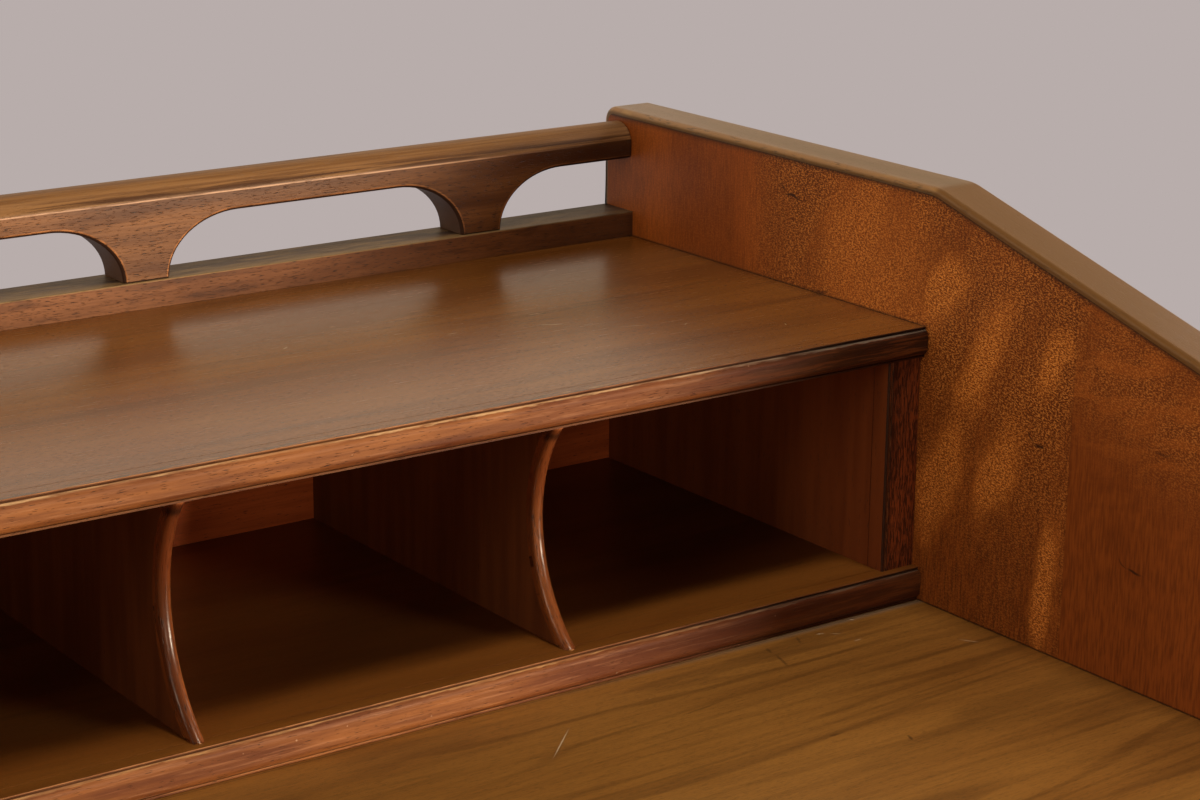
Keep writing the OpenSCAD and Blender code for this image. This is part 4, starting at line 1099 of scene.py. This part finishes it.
# %% [markdown]
# ## The case and its drawers
# The drawers have walnut fronts and pulls on birch boxes. Each board rides on its drawer's body, so that it
# slides with it. The boards of one drawer could be joined into one mesh, but apart they keep their own
# grain and can be taken out one by one.

# %% Case bottom and drawers
eased_board("case_bottom", "front", 0.8)
for bay in ("left", "centre", "right"):
    eased_board(f"{bay}_drawer_front", "front", 1.2)
    eased_board(f"{bay}_drawer_pull", "front", 1.5, 3)
    eased_board(f"{bay}_drawer_left_side", "birch_side", 0.8)
    eased_board(f"{bay}_drawer_right_side", "birch_side", 0.8)
    eased_board(f"{bay}_drawer_back", "birch_back", 0.8)

# %% [markdown]
# ## Boards that only take a finish
# The edges of the remaining boards are housed in other boards, covered by a lipping or a nosing, or out of
# sight in the case. Easing them would open a gap along each joint, so their packed meshes stay as they are.

# %% Boards that only take a finish
kept = {"left_side_panel": "side", "right_side_panel": "side", "writing_top": "writing",
        "hutch_base": "base", "hutch_shelf": "shelf", "hutch_back": "back", "case_back": "front",
        "left_hutch_end": "inside", "right_hutch_end": "inside", "gallery_dowels": "birch_side",
        "drawer_runners": "birch_side", "drawer_stops": "birch_side", "left_drawer_bottom": "birch_back",
        "centre_drawer_bottom": "birch_back", "right_drawer_bottom": "birch_back"}
for node, finish in kept.items():
    nodes[node].data.materials.clear()
    nodes[node].data.materials.append(finishes[finish])
print("kept boards:", len(kept))

# %% [markdown]
# ## A quiet room
# Behind the desk the camera sees an even lavender grey. The lacquer mirrors a warmer tone, and more of it
# from behind the desk than from its front, so that the sheen on the shelf looks like that of an old finish.
# A large sheet behind the desk could give both, but it would cast its light on every other view too. Light
# Path tells the world which ray asks: the camera's own rays see the even grey, and all others see the warm
# tone.

# %% World
BACKDROP = colour(184, 173, 171)
FILL = colour(184, 160, 124)


def rays(value, kind):
    """1 for the rays of that kind."""
    return value.add("ShaderNodeLightPath", out=f"Is {kind} Ray")


def seen_only(value):
    """1 for what the camera sees itself, in a reflection or through glass."""
    return rays(value, "Camera").most(rays(value, "Glossy")).most(rays(value, "Transmission"))


world = bpy.data.worlds.new("quiet_room")
world.use_nodes = True
world.node_tree.nodes.clear()
air = Value(world.node_tree)
way = air.add("ShaderNodeTexCoord", out="Generated")
behind = air.add("ShaderNodeSeparateXYZ", sockets={"Vector": way}, out="Y").rise(-0.1, 0.4)
level = behind * 0.12 + 0.02 + seen_only(air) * (behind * 0.73 + 0.23)
shown = air.add("ShaderNodeBackground", None, {"Color": BACKDROP, "Strength": 1.0})
fill = air.add("ShaderNodeBackground", None, {"Color": FILL, "Strength": level})
mixed = air.add("ShaderNodeMixShader", None,
                {"Fac": rays(air, "Camera"), "Shader": fill, "Shader_001": shown})
air.add("ShaderNodeOutputWorld", None, {"Surface": mixed})
bpy.context.scene.world = world
print("world:", len(world.node_tree.nodes), "nodes")

# %% [markdown]
# ## The floor
# The floor is plain, pale and matt, and the desk throws its shadow there. A floor with an edge would draw a
# horizon behind the desk. So the floor is large, and with the distance from the desk it fades into the
# colour of the world.

# %% Floor
FLOOR_SIZE = 20.0
FADE_START, FADE_END = 0.9, 1.7

work = bmesh.new()
bmesh.ops.create_grid(work, x_segments=1, y_segments=1, size=FLOOR_SIZE)
mesh = bpy.data.meshes.new("floor")
work.to_mesh(mesh)
work.free()
floor = bpy.data.objects.new("floor", mesh)
bpy.context.scene.collection.objects.link(floor)
paint = bpy.data.materials.new("floor_paint")
paint.use_nodes = True
paint.node_tree.nodes.clear()
ground = Value(paint.node_tree)
spot = ground.add("ShaderNodeTexCoord", out="Object")
far = ground.add("ShaderNodeVectorMath", {"operation": "LENGTH"}, {"Vector": spot}, "Value")
matt = ground.add("ShaderNodeBsdfDiffuse", None, {"Color": colour(196, 188, 186)})
even = ground.add("ShaderNodeEmission", None, {"Color": BACKDROP, "Strength": 1.0})
share = seen_only(ground) * far.rise(FADE_START, FADE_END)
mixed = ground.add("ShaderNodeMixShader", None, {"Fac": share, "Shader": matt, "Shader_001": even})
ground.add("ShaderNodeOutputMaterial", None, {"Surface": mixed})
mesh.materials.append(paint)
print("floor:", [round(v, 1) for v in floor.dimensions])

# %% [markdown]
# ## Soft boxes
# The desk stands in the light of soft boxes, all at the same distance from the hutch's right corner. Lamps
# could be set in watts and moved until the picture looks right, but then each move changes their level too.
# Here a soft box has a level instead: at 1 a white sheet at the corner would look just white, and the power
# follows from that level and from the distance.

# %% Lights
LIT_CORNER = Vector((0.35, 0.0, 0.85))
BOX_DISTANCE = 2.8


def soft_box(name, turn, tilt, width, height, level):
    """A soft box round the lit corner: turn from the front to the right, and tilt above the level."""
    lamp = bpy.data.lights.new(name, "AREA")
    lamp.shape = "RECTANGLE"
    lamp.size = width
    lamp.size_y = height
    lamp.energy = level * pi * pi * BOX_DISTANCE ** 2
    turn, tilt = radians(turn), radians(tilt)
    way = Vector((sin(turn) * cos(tilt), -cos(turn) * cos(tilt), sin(tilt)))
    facing = (-way).to_track_quat("-Z", "Y").to_matrix().to_4x4()
    box = bpy.data.objects.new(name, lamp)
    box.matrix_world = Matrix.Translation(LIT_CORNER + way * BOX_DISTANCE) @ facing
    bpy.context.scene.collection.objects.link(box)
    print(f"{name}: {lamp.energy:.0f} W")


soft_box("front_box", 28, 3, 0.85, 0.42, 1.35)
soft_box("near_box", -30, 4, 1.2, 0.6, 0.13)
soft_box("left_box", -87, 13, 1.4, 0.75, 0.42)
soft_box("top_box", 22, 73, 0.5, 0.4, 0.32)
soft_box("right_box", 90, 20, 1.6, 1.2, 0.75)
soft_box("rear_left_box", -150, 17, 3.2, 1.8, 0.14)
soft_box("rear_right_box", 170, 35, 3.0, 2.0, 0.12)

# %% [markdown] ## The end The dressed desk has to stay within the box of the packed one.
